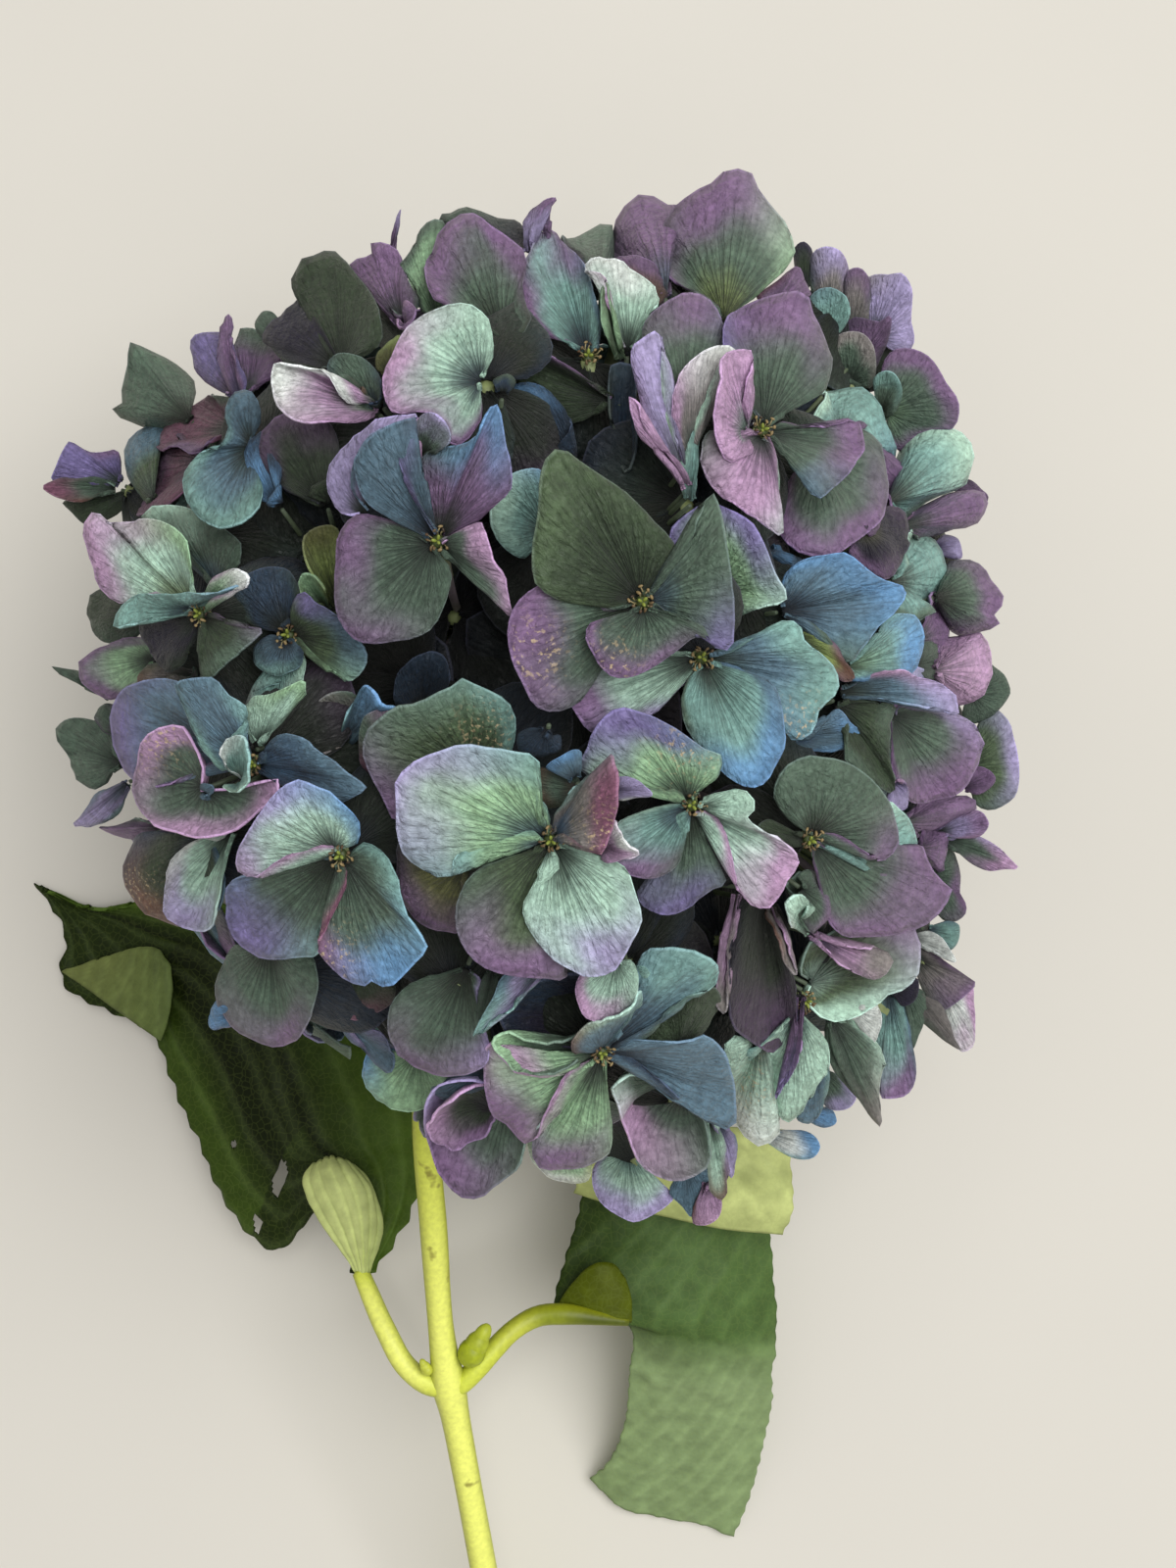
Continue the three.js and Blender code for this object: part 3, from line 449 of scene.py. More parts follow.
        petal("DGDGD", (1, 3, 1), [160, 440, 136, 432, 114, 418, 124, 408, 123, 394, 131, 374, 134, 350,
            150, 357, 171, 366, 186, 376, 198, 388, 200, 402, 194, 420], claw=(196, 430)),
        petal("GFGSG", (1, 2, 1), [140, 505, 127, 482, 130, 456, 140, 440, 155, 430, 171, 425, 166, 452,
            156, 482], claw=(158, 512)),
        petal("GRPRG", (5, 6, 5), [226, 446, 206, 460, 183, 457, 167, 442, 175, 428, 199, 415, 224, 404,
            240, 404, 244, 426], claw=(246, 440), shade=0.8),
        petal("PRRPP", (3, 4, 2), [202, 478, 192, 496, 180, 512, 160, 523, 145, 525, 141, 510, 149, 490,
            157, 468, 170, 454, 192, 457], claw=(214, 470), shade=0.6),
    ]),
    ((272, 462, -6), [
        petal("DSTTS", (4, 8, 7), [259, 466, 264, 486, 268, 503, 262, 521, 246, 534, 226, 539, 206, 531,
            193, 516, 188, 496, 192, 476, 205, 463, 222, 456, 232, 442, 230, 424, 234, 408, 242, 397,
            254, 398, 263, 409, 267, 426, 262, 442], claw=(264, 454), shade=0.8),
        petal("CBBCC", (1, 3, 1), [258, 506, 249, 480, 254, 448, 263, 438, 276, 460, 291, 482, 286, 502,
            272, 516], claw=(288, 520)),
        petal("DDXPD", (2, 4, 2), [290, 500, 268, 470, 266, 440, 279, 424, 310, 420, 336, 430, 346, 460,
            338, 488, 318, 506], claw=(335, 520), shade=0.85),
    ]),
    ((128, 500, -4), [
        petal("GVVVP", (2, 4, 2), [104, 490, 75, 491, 52, 490, 57, 476, 65, 458, 71, 450, 80, 455, 91, 461,
            106, 461, 119, 459, 124, 474, 120, 490], claw=(128, 496)),
        petal("GGNRG", (4, 4, 3), [108, 504, 86, 512, 62, 509, 50, 503, 43, 498, 55, 490, 76, 487, 104, 489],
            claw=(124, 500)),
        petal("DDDDD", (-3, -2, -3), [136, 504, 128, 518, 105, 532, 86, 535, 74, 524, 62, 512, 86, 512,
            112, 504], claw=(140, 500)),
    ]),
    ((215, 545, -10), [
        petal("SGGMG", (0, 2, 0), [216, 596, 196, 570, 188, 548, 170, 535, 145, 527, 153, 519, 176, 515,
            197, 520, 216, 530, 236, 545, 247, 556, 242, 576, 231, 592], claw=(222, 602), shade=0.85),
    ]),
    ((345, 565, -18), [
        petal("OYYOY", (8, 8, 6), [341, 620, 330, 600, 316, 578, 310, 560, 312, 545, 325, 537, 342, 537,
            346, 560, 347, 590], claw=(348, 625)),
        petal("YEYEY", (8, 8, 8), [330, 618, 312, 612, 305, 598, 309, 585, 320, 588, 330, 602],
            claw=(336, 625)),
    ]),
    ((702, 515, -6), []),
    ((745, 590, -12), [
        petal("GEVVM", (8, 14, 10), [700, 580, 688, 560, 684, 545, 700, 525, 722, 514, 742, 520, 762, 530,
            780, 556, 793, 588, 804, 610, 780, 618, 752, 630], claw=(725, 605)),
    ]),
    ((145, 670, -8), [
        petal("GEPPP", (2, 3, 2), [155, 676, 156, 696, 131, 706, 106, 713, 90, 701, 79, 683, 90, 668,
            111, 658, 141, 650, 152, 655], claw=(162, 672)),
        petal("GGGGG", (-1, -1, -2), [104, 708, 88, 699, 73, 694, 60, 687, 53, 681, 70, 683, 86, 686,
            104, 696], claw=(118, 712)),
        petal("GDGDG", (-1, 0, -1), [136, 650, 119, 655, 105, 655, 92, 640, 88, 622, 95, 605, 112, 599,
            134, 612], claw=(150, 630), shade=0.9),
        petal("GAGNG", (3, 3, 3), [200, 678, 195, 690, 171, 690, 151, 700, 140, 696, 150, 681, 171, 676],
            claw=(205, 690)),
    ]),
    ((130, 770, -12), [
        petal("GGGGG", (2, 3, 2), [112, 792, 96, 806, 80, 796, 67, 770, 59, 741, 75, 733, 96, 735, 116, 745,
            122, 770], claw=(130, 780)),
        petal("PGPGP", (3, 4, 3), [112, 750, 98, 742, 95, 732, 100, 722, 112, 718, 120, 735],
            claw=(125, 750)),
        petal("SLTLS", (2, 3, 2), [128, 816, 122, 830, 105, 840, 90, 845, 73, 843, 82, 833, 90, 822, 97, 810,
            110, 804], claw=(132, 798)),
        petal("GPGPG", (4, 5, 4), [172, 846, 160, 850, 140, 855, 120, 855, 101, 845, 115, 843, 130, 838,
            148, 836, 162, 838], claw=(182, 842)),
    ]),
    ((205, 865, -6), [
        petal("CDCNS", (0, 1, 0), [195, 852, 165, 850, 140, 852, 132, 865, 128, 882, 126, 900, 131, 914,
            140, 925, 158, 937, 182, 944, 205, 940, 222, 931, 228, 910, 226, 885, 222, 862], claw=(214, 850),
            spots=(130, 908)),
        petal("GMWLM", (5, 5, 5), [225, 856, 207, 855, 190, 862, 178, 875, 171, 888, 168, 905, 166, 920,
            170, 932, 180, 942, 192, 948, 204, 952, 212, 948, 217, 935, 221, 918, 225, 898, 231, 878,
            237, 862], claw=(242, 842)),
    ]),
    ((285, 985, 2), [
        petal("DGGPG", (1, 2, 1), [316, 975, 325, 998, 323, 1015, 318, 1035, 310, 1052, 298, 1065, 280, 1068,
            262, 1063, 245, 1053, 232, 1040, 222, 1025, 221, 1005, 226, 985, 237, 966], claw=(277, 958)),
        petal("BBLBB", (0, 0, 0), [243, 1042, 235, 1048, 225, 1050, 215, 1050, 212, 1043, 214, 1034,
            220, 1022, 229, 1015], claw=(252, 1030)),
    ]),
    ((372, 975, -8), [
        petal("DDDRD", (1, 2, 1), [404, 1008, 396, 1028, 382, 1036, 365, 1041, 350, 1037, 335, 1025,
            325, 1005, 322, 985, 345, 975], claw=(368, 968), shade=0.9),
        petal("VSLSL", (0, 0, 0), [335, 1024, 350, 1030, 365, 1037, 380, 1045, 392, 1058, 398, 1075,
            402, 1090, 398, 1095, 385, 1088, 375, 1075, 366, 1060, 358, 1046, 345, 1034], claw=(328, 1012),
            shade=0.7),
        petal("GGDGD", (0, 1, 0), [485, 985, 478, 993, 466, 998, 450, 1000, 435, 996, 420, 984, 430, 970,
            445, 952, 466, 962], claw=(445, 940), shade=0.85),
    ]),
    ((465, 1010, 2), [
        petal("DGLPG", (1, 2, 2), [492, 1000, 488, 1020, 493, 1042, 499, 1065, 496, 1085, 478, 1096,
            455, 1098, 430, 1094, 410, 1083, 400, 1065, 396, 1045, 400, 1022, 414, 1008, 430, 998, 455, 992],
            claw=(478, 984)),
        petal("TLTTS", (5, 8, 5), [545, 1008, 525, 1022, 507, 1038, 494, 1052, 485, 1061, 490, 1045,
            499, 1022, 508, 1002, 515, 993, 535, 985], claw=(560, 980)),
        petal("GGGGG", (1, 2, 1), [508, 1000, 500, 1022, 490, 1044, 487, 1030, 488, 1012, 494, 996],
            claw=(505, 985), shade=0.8),
    ]),
    ((418, 1075, -18), [
        petal("EEEEB", (6, 6, 6), [455, 1098, 470, 1100, 462, 1108, 450, 1119, 440, 1128, 425, 1132,
            405, 1131, 390, 1125, 378, 1115, 371, 1103, 371, 1088, 376, 1074, 400, 1070], claw=(430, 1066)),
        petal("LGLGL", (4, 4, 4), [424, 1145, 425, 1130, 432, 1128, 437, 1150, 439, 1166, 430, 1158],
            claw=(436, 1118)),
    ]),
    ((520, 1115, 2), [
        petal("EGGPL", (2, 4, 2), [537, 1150, 534, 1170, 528, 1190, 518, 1201, 505, 1210, 492, 1222,
            478, 1226, 465, 1220, 452, 1205, 442, 1185, 436, 1165, 434, 1140, 440, 1118, 458, 1104,
            480, 1100, 500, 1106], arch=-4),
        petal("XDKKP", (6, 7, 3), [500, 1112, 472, 1118, 451, 1128, 441, 1142, 438, 1157, 445, 1167,
            460, 1171, 480, 1168, 494, 1161, 500, 1148], claw=(510, 1132), arch=-3),
        petal("CSCSC", (0, 0, 0), [495, 1096, 497, 1112, 470, 1116, 450, 1122, 440, 1116, 462, 1098],
            claw=(505, 1085), shade=0.7),
    ]),
    ((690, 1125, 4), [
        petal("DGMKG", (4, 6, 4), [690, 1110, 662, 1100, 640, 1097, 628, 1106, 632, 1130, 642, 1160,
            652, 1186, 668, 1200, 690, 1203, 710, 1198, 723, 1187, 723, 1165, 717, 1142, 708, 1124],
            claw=(702, 1114), arch=-4),
        petal("GMLNM", (2, 3, 3), [728, 1148, 738, 1160, 745, 1180, 742, 1203, 737, 1225, 726, 1218,
            722, 1195, 722, 1168], claw=(722, 1136)),
        petal("SLSLS", (0, 1, 0), [740, 1152, 752, 1160, 753, 1178, 746, 1201, 738, 1190], claw=(732, 1140)),
    ]),
    ((650, 1190, -10), [
        petal("TMLLL", (2, 2, 1), [620, 1178, 606, 1190, 604, 1206, 612, 1226, 630, 1240, 648, 1247,
            666, 1240, 680, 1231, 688, 1222, 676, 1208, 660, 1196], claw=(640, 1170)),
        petal("SSSSS", (1, 1, 2), [674, 1200, 700, 1204, 723, 1190, 723, 1210, 716, 1230, 707, 1243,
            695, 1230, 683, 1218], claw=(700, 1185)),
        petal("KKKKN", (3, 2, 3), [716, 1225, 723, 1212, 733, 1216, 737, 1228, 733, 1243, 720, 1250,
            707, 1248, 706, 1240], claw=(722, 1200)),
    ]),
    ((775, 1110, -2), [
        petal("SWBBM", (0, 0, 0), [780, 1153, 797, 1156, 815, 1153, 830, 1158, 837, 1170, 832, 1180,
            816, 1184, 800, 1178, 788, 1170, 775, 1160], claw=(768, 1150)),
        petal("SBSBS", (-4, -4, -4), [825, 1135, 838, 1129, 851, 1134, 853, 1145, 841, 1151, 828, 1146],
            claw=(815, 1130)),
        petal("GGLLG", (-1, 0, -1), [842, 1092, 858, 1097, 868, 1108, 874, 1119, 868, 1129, 856, 1133,
            843, 1130, 838, 1118], claw=(832, 1085)),
    ]),
    ((905, 1035, -4), [
        petal("STSPT", (1, 2, 1), [915, 1016, 925, 1028, 929, 1045, 930, 1062, 934, 1080, 935, 1095,
            933, 1108, 925, 1118, 912, 1121, 899, 1120, 898, 1100, 899, 1080, 893, 1062, 893, 1042,
            898, 1022], claw=(906, 1008)),
        petal("SGGGS", (-1, -1, -1), [926, 1012, 938, 1008, 945, 1020, 944, 1038, 939, 1054, 932, 1072,
            926, 1050], claw=(920, 1000)),
        petal("GAAAG", (-2, -2, -2), [942, 1018, 958, 1022, 968, 1040, 974, 1060, 980, 1071, 965, 1063,
            950, 1051, 938, 1040], claw=(928, 1008), shade=0.75),
        petal("XXXXX", (1, 1, 1), [912, 1016, 924, 1004, 936, 998, 938, 1010, 931, 1023, 921, 1027],
            claw=(905, 1005)),
    ]),
    ((945, 985, -8), [
        petal("DAPPG", (2, 3, 2), [941, 964, 952, 971, 965, 981, 978, 990, 988, 997, 996, 1003, 986, 1015,
            975, 1024, 963, 1031, 950, 1023, 940, 1008, 934, 990], claw=(926, 972), shade=0.7),
        petal("AWKKW", (-1, 0, -1), [968, 1026, 980, 1015, 991, 1004, 994, 1025, 995, 1050, 992, 1070,
            983, 1074, 973, 1066, 966, 1048, 963, 1035], claw=(957, 1002)),
        petal("WWWWW", (3, 3, 3), [936, 952, 948, 950, 960, 956, 969, 968, 976, 982, 962, 978, 949, 970,
            938, 964], claw=(926, 955)),
        petal("STSTS", (-2, -2, -2), [952, 944, 966, 939, 977, 943, 978, 960, 971, 970, 960, 958],
            claw=(942, 948)),
    ]),
    ((345, 745, -14), [
        petal("GAAAG", (8, 8, 8), [345, 764, 333, 768, 320, 765, 313, 752, 313, 740, 318, 725, 330, 712,
            345, 706, 362, 708], claw=(368, 738), spots=(320, 748)),
        petal("SSTBT", (10, 14, 8), [341, 762, 345, 750, 352, 735, 360, 718, 368, 703, 374, 697, 381, 703,
            388, 713, 398, 720, 405, 724, 390, 730, 375, 736, 366, 746, 358, 758], claw=(346, 768)),
    ]),
    ((430, 700, -22), [
        petal("DCCCC", (8, 8, 6), [405, 722, 402, 705, 405, 690, 413, 678, 425, 669, 440, 664, 452, 668,
            458, 680, 458, 697, 452, 716], claw=(430, 735)),
    ]),
    ((485, 790, -6), [
        petal("FFPGT", (6, 10, 8), [450, 820, 425, 834, 405, 838, 390, 812, 378, 790, 370, 770, 372, 750,
            385, 735, 403, 722, 425, 718, 445, 708, 458, 702, 467, 694, 478, 693, 487, 700, 497, 704,
            512, 711, 522, 722, 527, 738, 525, 752, 518, 778, 510, 790], spots=(498, 750)),
        petal("GARGK", (2, 4, 3), [376, 790, 368, 780, 366, 765, 367, 745, 373, 731, 385, 725, 400, 728,
            410, 740], claw=(405, 770)),
    ]),
    ((865, 310, -6), [
        petal("XDXXX", (-4, -2, -4), [811, 275, 811, 253, 819, 248, 827, 255, 830, 272, 828, 290],
            claw=(820, 300)),
        petal("GAGLP", (-2, 2, -2), [826, 292, 826, 270, 831, 256, 845, 251, 858, 256, 865, 270, 868, 284,
            867, 302, 855, 318], claw=(845, 328)),
        petal("GAGPG", (-1, 1, -1), [860, 300, 862, 282, 868, 274, 878, 273, 887, 281, 890, 300, 891, 320,
            888, 336, 878, 342], claw=(868, 348), shade=0.85),
        petal("FTSTF", (2, 3, 1), [828, 300, 838, 294, 852, 295, 864, 304, 868, 318, 862, 334, 850, 345,
            838, 338, 830, 320], claw=(842, 356)),
    ]),
    ((880, 385, -6), [
        petal("GLALL", (-3, 0, -3), [884, 312, 880, 296, 883, 284, 895, 280, 908, 280, 919, 278, 927, 284,
            931, 297, 930, 315, 930, 332, 933, 346, 930, 356, 918, 360, 905, 356, 895, 345],
            claw=(888, 350)),
        petal("DPXPX", (0, 2, 0), [856, 345, 856, 330, 868, 324, 885, 325, 898, 328, 908, 321, 907, 345,
            900, 363, 893, 377, 882, 382, 868, 370], claw=(872, 380), shade=0.7),
        petal("GGAAG", (3, 5, 2), [849, 365, 847, 352, 855, 342, 868, 338, 880, 340, 890, 350, 894, 366,
            893, 385, 889, 396, 875, 392, 860, 384], claw=(866, 398)),
        # a dark sepal low in a gap, its darkness painted shade
        plain("XDDDX", (-5, -5, -5), (876, 402), (912, 336), 44, shade=0.6),
    ]),
    ((905, 440, 0), [
        petal("EGPPP", (-2, 1, -3), [898, 385, 902, 368, 912, 357, 930, 356, 946, 362, 958, 375, 966, 391,
            976, 405, 979, 420, 974, 436, 958, 442, 940, 450, 922, 462, 908, 450], claw=(898, 422),
            shade=0.9),
        petal("FGTTG", (4, 6, 4), [892, 402, 891, 387, 900, 379, 911, 380, 919, 390, 920, 405, 914, 420,
            904, 426], claw=(897, 424)),
        petal("GTMTB", (5, 7, 3), [836, 441, 830, 433, 833, 420, 843, 407, 858, 398, 872, 395, 884, 397,
            894, 408, 903, 425, 911, 445, 919, 467, 908, 464, 893, 454, 875, 446, 855, 444],
            claw=(850, 450)),
        petal("PPPPP", (3, 4, 1), [872, 438, 885, 434, 899, 445, 911, 462, 923, 480, 936, 497, 926, 508,
            910, 516, 900, 500, 888, 475, 876, 455], claw=(862, 436), shade=0.9),
    ]),
    ((850, 500, -6), [
        petal("GGGPP", (1, 3, 0), [838, 470, 860, 448, 880, 438, 898, 455, 907, 480, 908, 505, 903, 525,
            888, 542, 868, 556, 850, 568, 825, 568, 808, 560, 798, 542, 799, 515, 808, 485],
            claw=(826, 462)),
        petal("OXPXP", (-3, -1, -3), [880, 545, 898, 533, 909, 515, 919, 523, 926, 545, 926, 562, 919, 578,
            901, 592, 882, 578, 866, 562], claw=(872, 535), shade=0.7),
        petal("BBBBB", (-6, -4, -6), [790, 556, 802, 565, 819, 570, 812, 578, 800, 583, 789, 575],
            claw=(782, 560)),
    ]),
    ((930, 520, -8), [
        petal("GTMMT", (4, 5, 2), [911, 480, 917, 462, 927, 446, 940, 435, 957, 432, 974, 436, 987, 447,
            993, 462, 990, 482, 982, 498, 966, 504, 948, 511, 934, 522, 922, 530, 912, 520],
            claw=(904, 514)),
        petal("XPXPX", (-1, 0, -1), [975, 500, 986, 489, 1000, 497, 1009, 508, 1000, 520], claw=(968, 512),
            shade=0.7),
        petal("GPKPG", (3, 3, 1), [930, 525, 944, 514, 965, 504, 988, 500, 1003, 500, 1009, 510, 1003, 525,
            995, 536, 974, 540, 952, 548, 932, 545], claw=(918, 538)),
        petal("GTMTG", (2, 4, 2), [922, 580, 922, 556, 930, 543, 945, 545, 958, 554, 966, 570, 966, 590,
            958, 610, 946, 628, 934, 637, 922, 628, 910, 628, 910, 606], claw=(908, 594)),
        petal("VLVLV", (-2, -1, -2), [955, 552, 966, 545, 976, 548, 981, 570, 968, 571], claw=(948, 560)),
    ]),
    ((970, 600, -8), [
        petal("DGGPP", (1, 3, 1), [958, 592, 963, 576, 980, 571, 995, 572, 1006, 580, 1016, 595, 1025, 606,
            1022, 619, 1015, 629, 1019, 637, 1000, 645, 976, 650, 960, 632], claw=(952, 610)),
        petal("GPPPP", (3, 3, 2), [938, 642, 949, 618, 960, 621, 969, 640, 969, 666, 956, 681, 940, 668],
            claw=(932, 655)),
    ]),
    ((965, 690, -6), [
        petal("KKPKK", (1, 1, 0), [960, 668, 966, 650, 985, 648, 1001, 645, 1007, 665, 1009, 690, 1000, 712,
            976, 721, 962, 708, 957, 690], claw=(950, 685)),
        petal("GGGGG", (-4, -3, -4), [1000, 685, 1007, 675, 1018, 681, 1029, 695, 1031, 706, 1020, 724,
            1005, 736, 986, 738, 985, 715], claw=(985, 708), shade=0.85),
        petal("GGGGG", (-1, 0, -1), [936, 668, 945, 655, 958, 662, 962, 680, 955, 692, 938, 690],
            claw=(930, 680), shade=0.8),
    ]),
    ((845, 640, -6), [
        petal("CSBBG", (5, 8, 5), [797, 600, 806, 580, 822, 570, 844, 566, 862, 565, 880, 578, 900, 590,
            923, 603, 914, 622, 899, 637, 884, 656, 866, 677, 850, 658, 834, 642, 812, 634],
            claw=(792, 625)),
        petal("ETTBB", (1, 3, 1), [880, 665, 896, 644, 908, 628, 921, 626, 934, 630, 942, 650, 942, 666,
            936, 682, 925, 691, 900, 690, 876, 696, 860, 692], claw=(860, 682)),
        petal("GYPNP", (4, 6, 4), [815, 648, 826, 641, 840, 647, 852, 656, 862, 673, 872, 693, 860, 696,
            845, 682, 829, 666, 817, 658], claw=(808, 650)),
    ]),
    ((895, 730, -6), [
        petal("GSKLS", (7, 9, 7), [866, 700, 884, 689, 914, 684, 940, 690, 962, 698, 976, 709, 982, 727,
            952, 722, 915, 716, 884, 713, 860, 713], claw=(852, 706)),
        petal("DDGDG", (4, 6, 4), [853, 722, 872, 713, 896, 717, 915, 719, 909, 738, 907, 760, 911, 788,
            917, 810, 895, 802, 876, 788, 862, 772, 866, 750], claw=(850, 715)),
        petal("GGLPP", (1, 4, 2), [915, 719, 942, 722, 976, 728, 992, 739, 1001, 755, 1003, 772, 995, 791,
            976, 810, 952, 817, 930, 819, 917, 808, 908, 780, 906, 750], claw=(905, 728)),
        petal("LLKLL", (6, 7, 5), [907, 802, 916, 797, 929, 812, 923, 826, 908, 822], claw=(905, 790)),
        petal("BSSBB", (3, 3, 2), [812, 752, 828, 751, 840, 737, 852, 723, 870, 738, 887, 753, 870, 763,
            842, 768, 820, 765], claw=(802, 752)),
        petal("WKWKW", (-1, 0, -1), [797, 768, 812, 764, 831, 769, 816, 781, 800, 786], claw=(790, 775)),
    ]),
    ((985, 790, -8), [
        petal("GFGLG", (-2, -2, -2), [996, 745, 1003, 729, 1015, 722, 1027, 735, 1036, 760, 1040, 785,
            1038, 806, 1028, 819, 1010, 827, 996, 822, 989, 800], claw=(976, 785)),
        petal("PPPPP", (1, 1, 1), [985, 798, 996, 782, 1008, 785, 1016, 795, 1008, 806, 995, 811],
            claw=(978, 805)),
        petal("GPPPP", (2, 3, 1), [925, 832, 936, 818, 960, 812, 985, 811, 998, 821, 981, 831, 962, 845,
            945, 852, 930, 846], claw=(914, 840)),
    ]),
    ((945, 860, -10), [
        petal("GLKPK", (3, 4, 2), [960, 843, 974, 832, 990, 826, 1003, 830, 1009, 842, 1001, 853, 985, 856,
            967, 851], claw=(950, 850)),
        petal("GGLKP", (1, 1, 1), [968, 856, 986, 850, 1006, 856, 1021, 866, 1033, 878, 1040, 886, 1025, 887,
            1010, 889, 994, 883, 976, 869], claw=(954, 852)),
        petal("GGGPG", (-2, -1, -2), [957, 868, 968, 862, 977, 878, 981, 895, 980, 910, 986, 925, 983, 935,
            966, 941, 952, 926, 950, 896], claw=(945, 890), shade=0.85),
        petal("PPPPP", (1, 1, 0), [942, 850, 955, 847, 966, 850, 967, 870, 960, 891, 947, 882],
            claw=(936, 865)),
    ]),
    ((560, 545, -18), [
        petal("TTTMB", (8, 9, 8), [530, 570, 510, 555, 500, 530, 505, 505, 525, 482, 555, 480, 560, 510]),
    ]),
    ((560, 990, -12), []),
    ((640, 985, -8), []),
    ((735, 960, -16), []),
]

OPEN_EYES = (*range(13), 14, 15)  # the florets whose eyes show in the picture; sepals cover the others

# The stem's line: points with the stem's radius there, from the cut end to the fork inside the head
STEM_LINE = [
    (13.8, -193, 3.4, 3), (7.7, -151, 16, 3), (1.6, -108, 28, 3.15), (-2.5, -80, 36, 3.15),
    (-4.6, -66, 40, 3.4), (-5.7, -59, 42.5, 3.9), (-6.5, -52, 44.5, 3.25), (-8.1, -20, 55, 3.05),
    (-9.1, 6, 63, 2.9), (-3, 47, 74, 2.6), (7, 73, 81, 2.6), (14, 89, 85, 2.6),
]
STEM_LIFT = 0.3  # keeps the round cut end on the table

# The leaves, as columns and rows in the picture with heights in millimetres. A petiole's last number is its
# radius; each row of a blade crosses it from its left margin to its right one.
LEFT_PETIOLE = [
    (452, 1416, 43, 2.4), (438, 1412, 43, 2.6), (417, 1397, 42, 2.5), (393, 1356, 40, 2.4),
    (376, 1317, 36, 2.2), (368, 1298, 34, 2),
]
LEFT_BLADE = [
    [(362, 1298, 33.6), (366, 1299, 33.8), (370, 1300, 34), (374, 1299, 33.8), (378, 1298, 33.6)],
    [(350, 1268, 26), (356, 1262, 27), (366, 1262, 28), (380, 1268, 29), (394, 1276, 29)],
    [(324, 1232, 23), (332, 1220, 25), (348, 1212, 27), (380, 1222, 28), (416, 1238, 28)],
    [(308, 1249, 19), (311, 1216, 22), (318, 1192, 24), (372, 1190, 26), (428, 1200, 26)],
    [(279, 1275, 15), (292, 1226, 18), (302, 1180, 21), (365, 1165, 24), (430, 1170, 24)],
    [(258, 1262, 14), (272, 1208, 17), (284, 1160, 20), (355, 1135, 23), (432, 1140, 23)],
    [(232, 1228, 13), (248, 1180, 16), (262, 1138, 18), (340, 1105, 21), (424, 1108, 21)],
    [(204, 1162, 12), (222, 1122, 14), (240, 1095, 16), (318, 1065, 19), (400, 1062, 19)],
    [(175, 1100, 10), (194, 1066, 12), (214, 1040, 14), (284, 1012, 16), (360, 1000, 16)],
    [(162, 1061, 8.5), (172, 1030, 9.5), (190, 995, 11), (242, 965, 12.5), (300, 950, 12.5)],
    [(64, 992, 4), (95, 985, 5), (135, 962, 6.5), (185, 938, 8), (235, 925, 8)],
    [(69, 962, 2.4), (82, 952, 3), (100, 940, 3.8), (122, 930, 4.4), (150, 918, 4.8)],
    [(60, 932, 1.5), (66, 930, 1.6), (74, 928, 1.8), (84, 926, 2.1), (96, 928, 2.5)],
    [(40, 904, 0.9), (43, 906, 0.9), (45, 907, 0.9), (47, 908, 0.9), (50, 909, 0.9)],
]
LEFT_FOLD = [
    [(63, 992, 5.2), (90, 1010, 6.8), (114, 1028, 8), (140, 1046, 9.4), (163, 1062, 10.6)],
    [(72, 988, 6.8), (98, 1000, 8.8), (124, 1012, 10.4), (150, 1026, 12), (171, 1042, 13)],
    [(85, 984, 7.4), (108, 988, 9.2), (132, 993, 11.2), (156, 1000, 13), (175, 1015, 13.6)],
    [(98, 979, 7.4), (117, 973, 9), (142, 966, 11), (160, 968, 12.4), (174, 986, 13)],
]
LEFT_LOBE = [
    [(362, 1299, 35), (366, 1300, 35.6), (370, 1301, 36), (374, 1300, 35.6), (378, 1298, 35)],
    [(346, 1276, 36.5), (352, 1272, 38), (366, 1268, 39), (378, 1274, 38), (385, 1280, 36)],
    [(326, 1245, 36.5), (338, 1240, 38), (358, 1236, 39.4), (379, 1244, 38.4), (391, 1256, 36)],
    [(311, 1220, 35.4), (325, 1214, 37.4), (350, 1208, 38.6), (374, 1212, 37.6), (388, 1226, 35)],
    [(308, 1200, 33.6), (321, 1194, 35.4), (344, 1190, 36.6), (362, 1194, 35.8), (377, 1205, 33.6)],
    [(318, 1185, 31), (326, 1181, 32), (340, 1178, 32.8), (352, 1181, 32), (362, 1187, 31)],
]
# Holes in the left blade: column, row, and half their width and height in millimetres
LEFT_HOLES = ((288, 1196, 1.2, 3), (282, 1208, 1.2, 3.2), (237, 1168, 0.8, 1.4), (262, 1250, 1.1, 2.4))
RIGHT_BASE = [
    [(567, 1336, 36.6), (592, 1346, 38), (612, 1348, 38.6), (630, 1349, 38), (644, 1350, 36.6)],
    [(574, 1322, 36.8), (594, 1316, 38.2), (614, 1312, 38.8), (632, 1318, 38.2), (644, 1330, 36.6)],
    [(586, 1306, 36.4), (598, 1295, 37), (612, 1288, 37.4), (627, 1290, 37), (639, 1304, 36.2)],
]
RIGHT_PETIOLE = [
    (462, 1416, 43, 2.4), (468, 1413, 43, 2.5), (484, 1399, 43, 2.5), (503, 1378, 42, 2.4),
    (524, 1357, 40, 2.3), (549, 1343, 38.4, 2.4), (578, 1341, 38.6, 2.4), (610, 1345, 38.4, 1.6),
    (641, 1349, 36.8, 0.9),
]
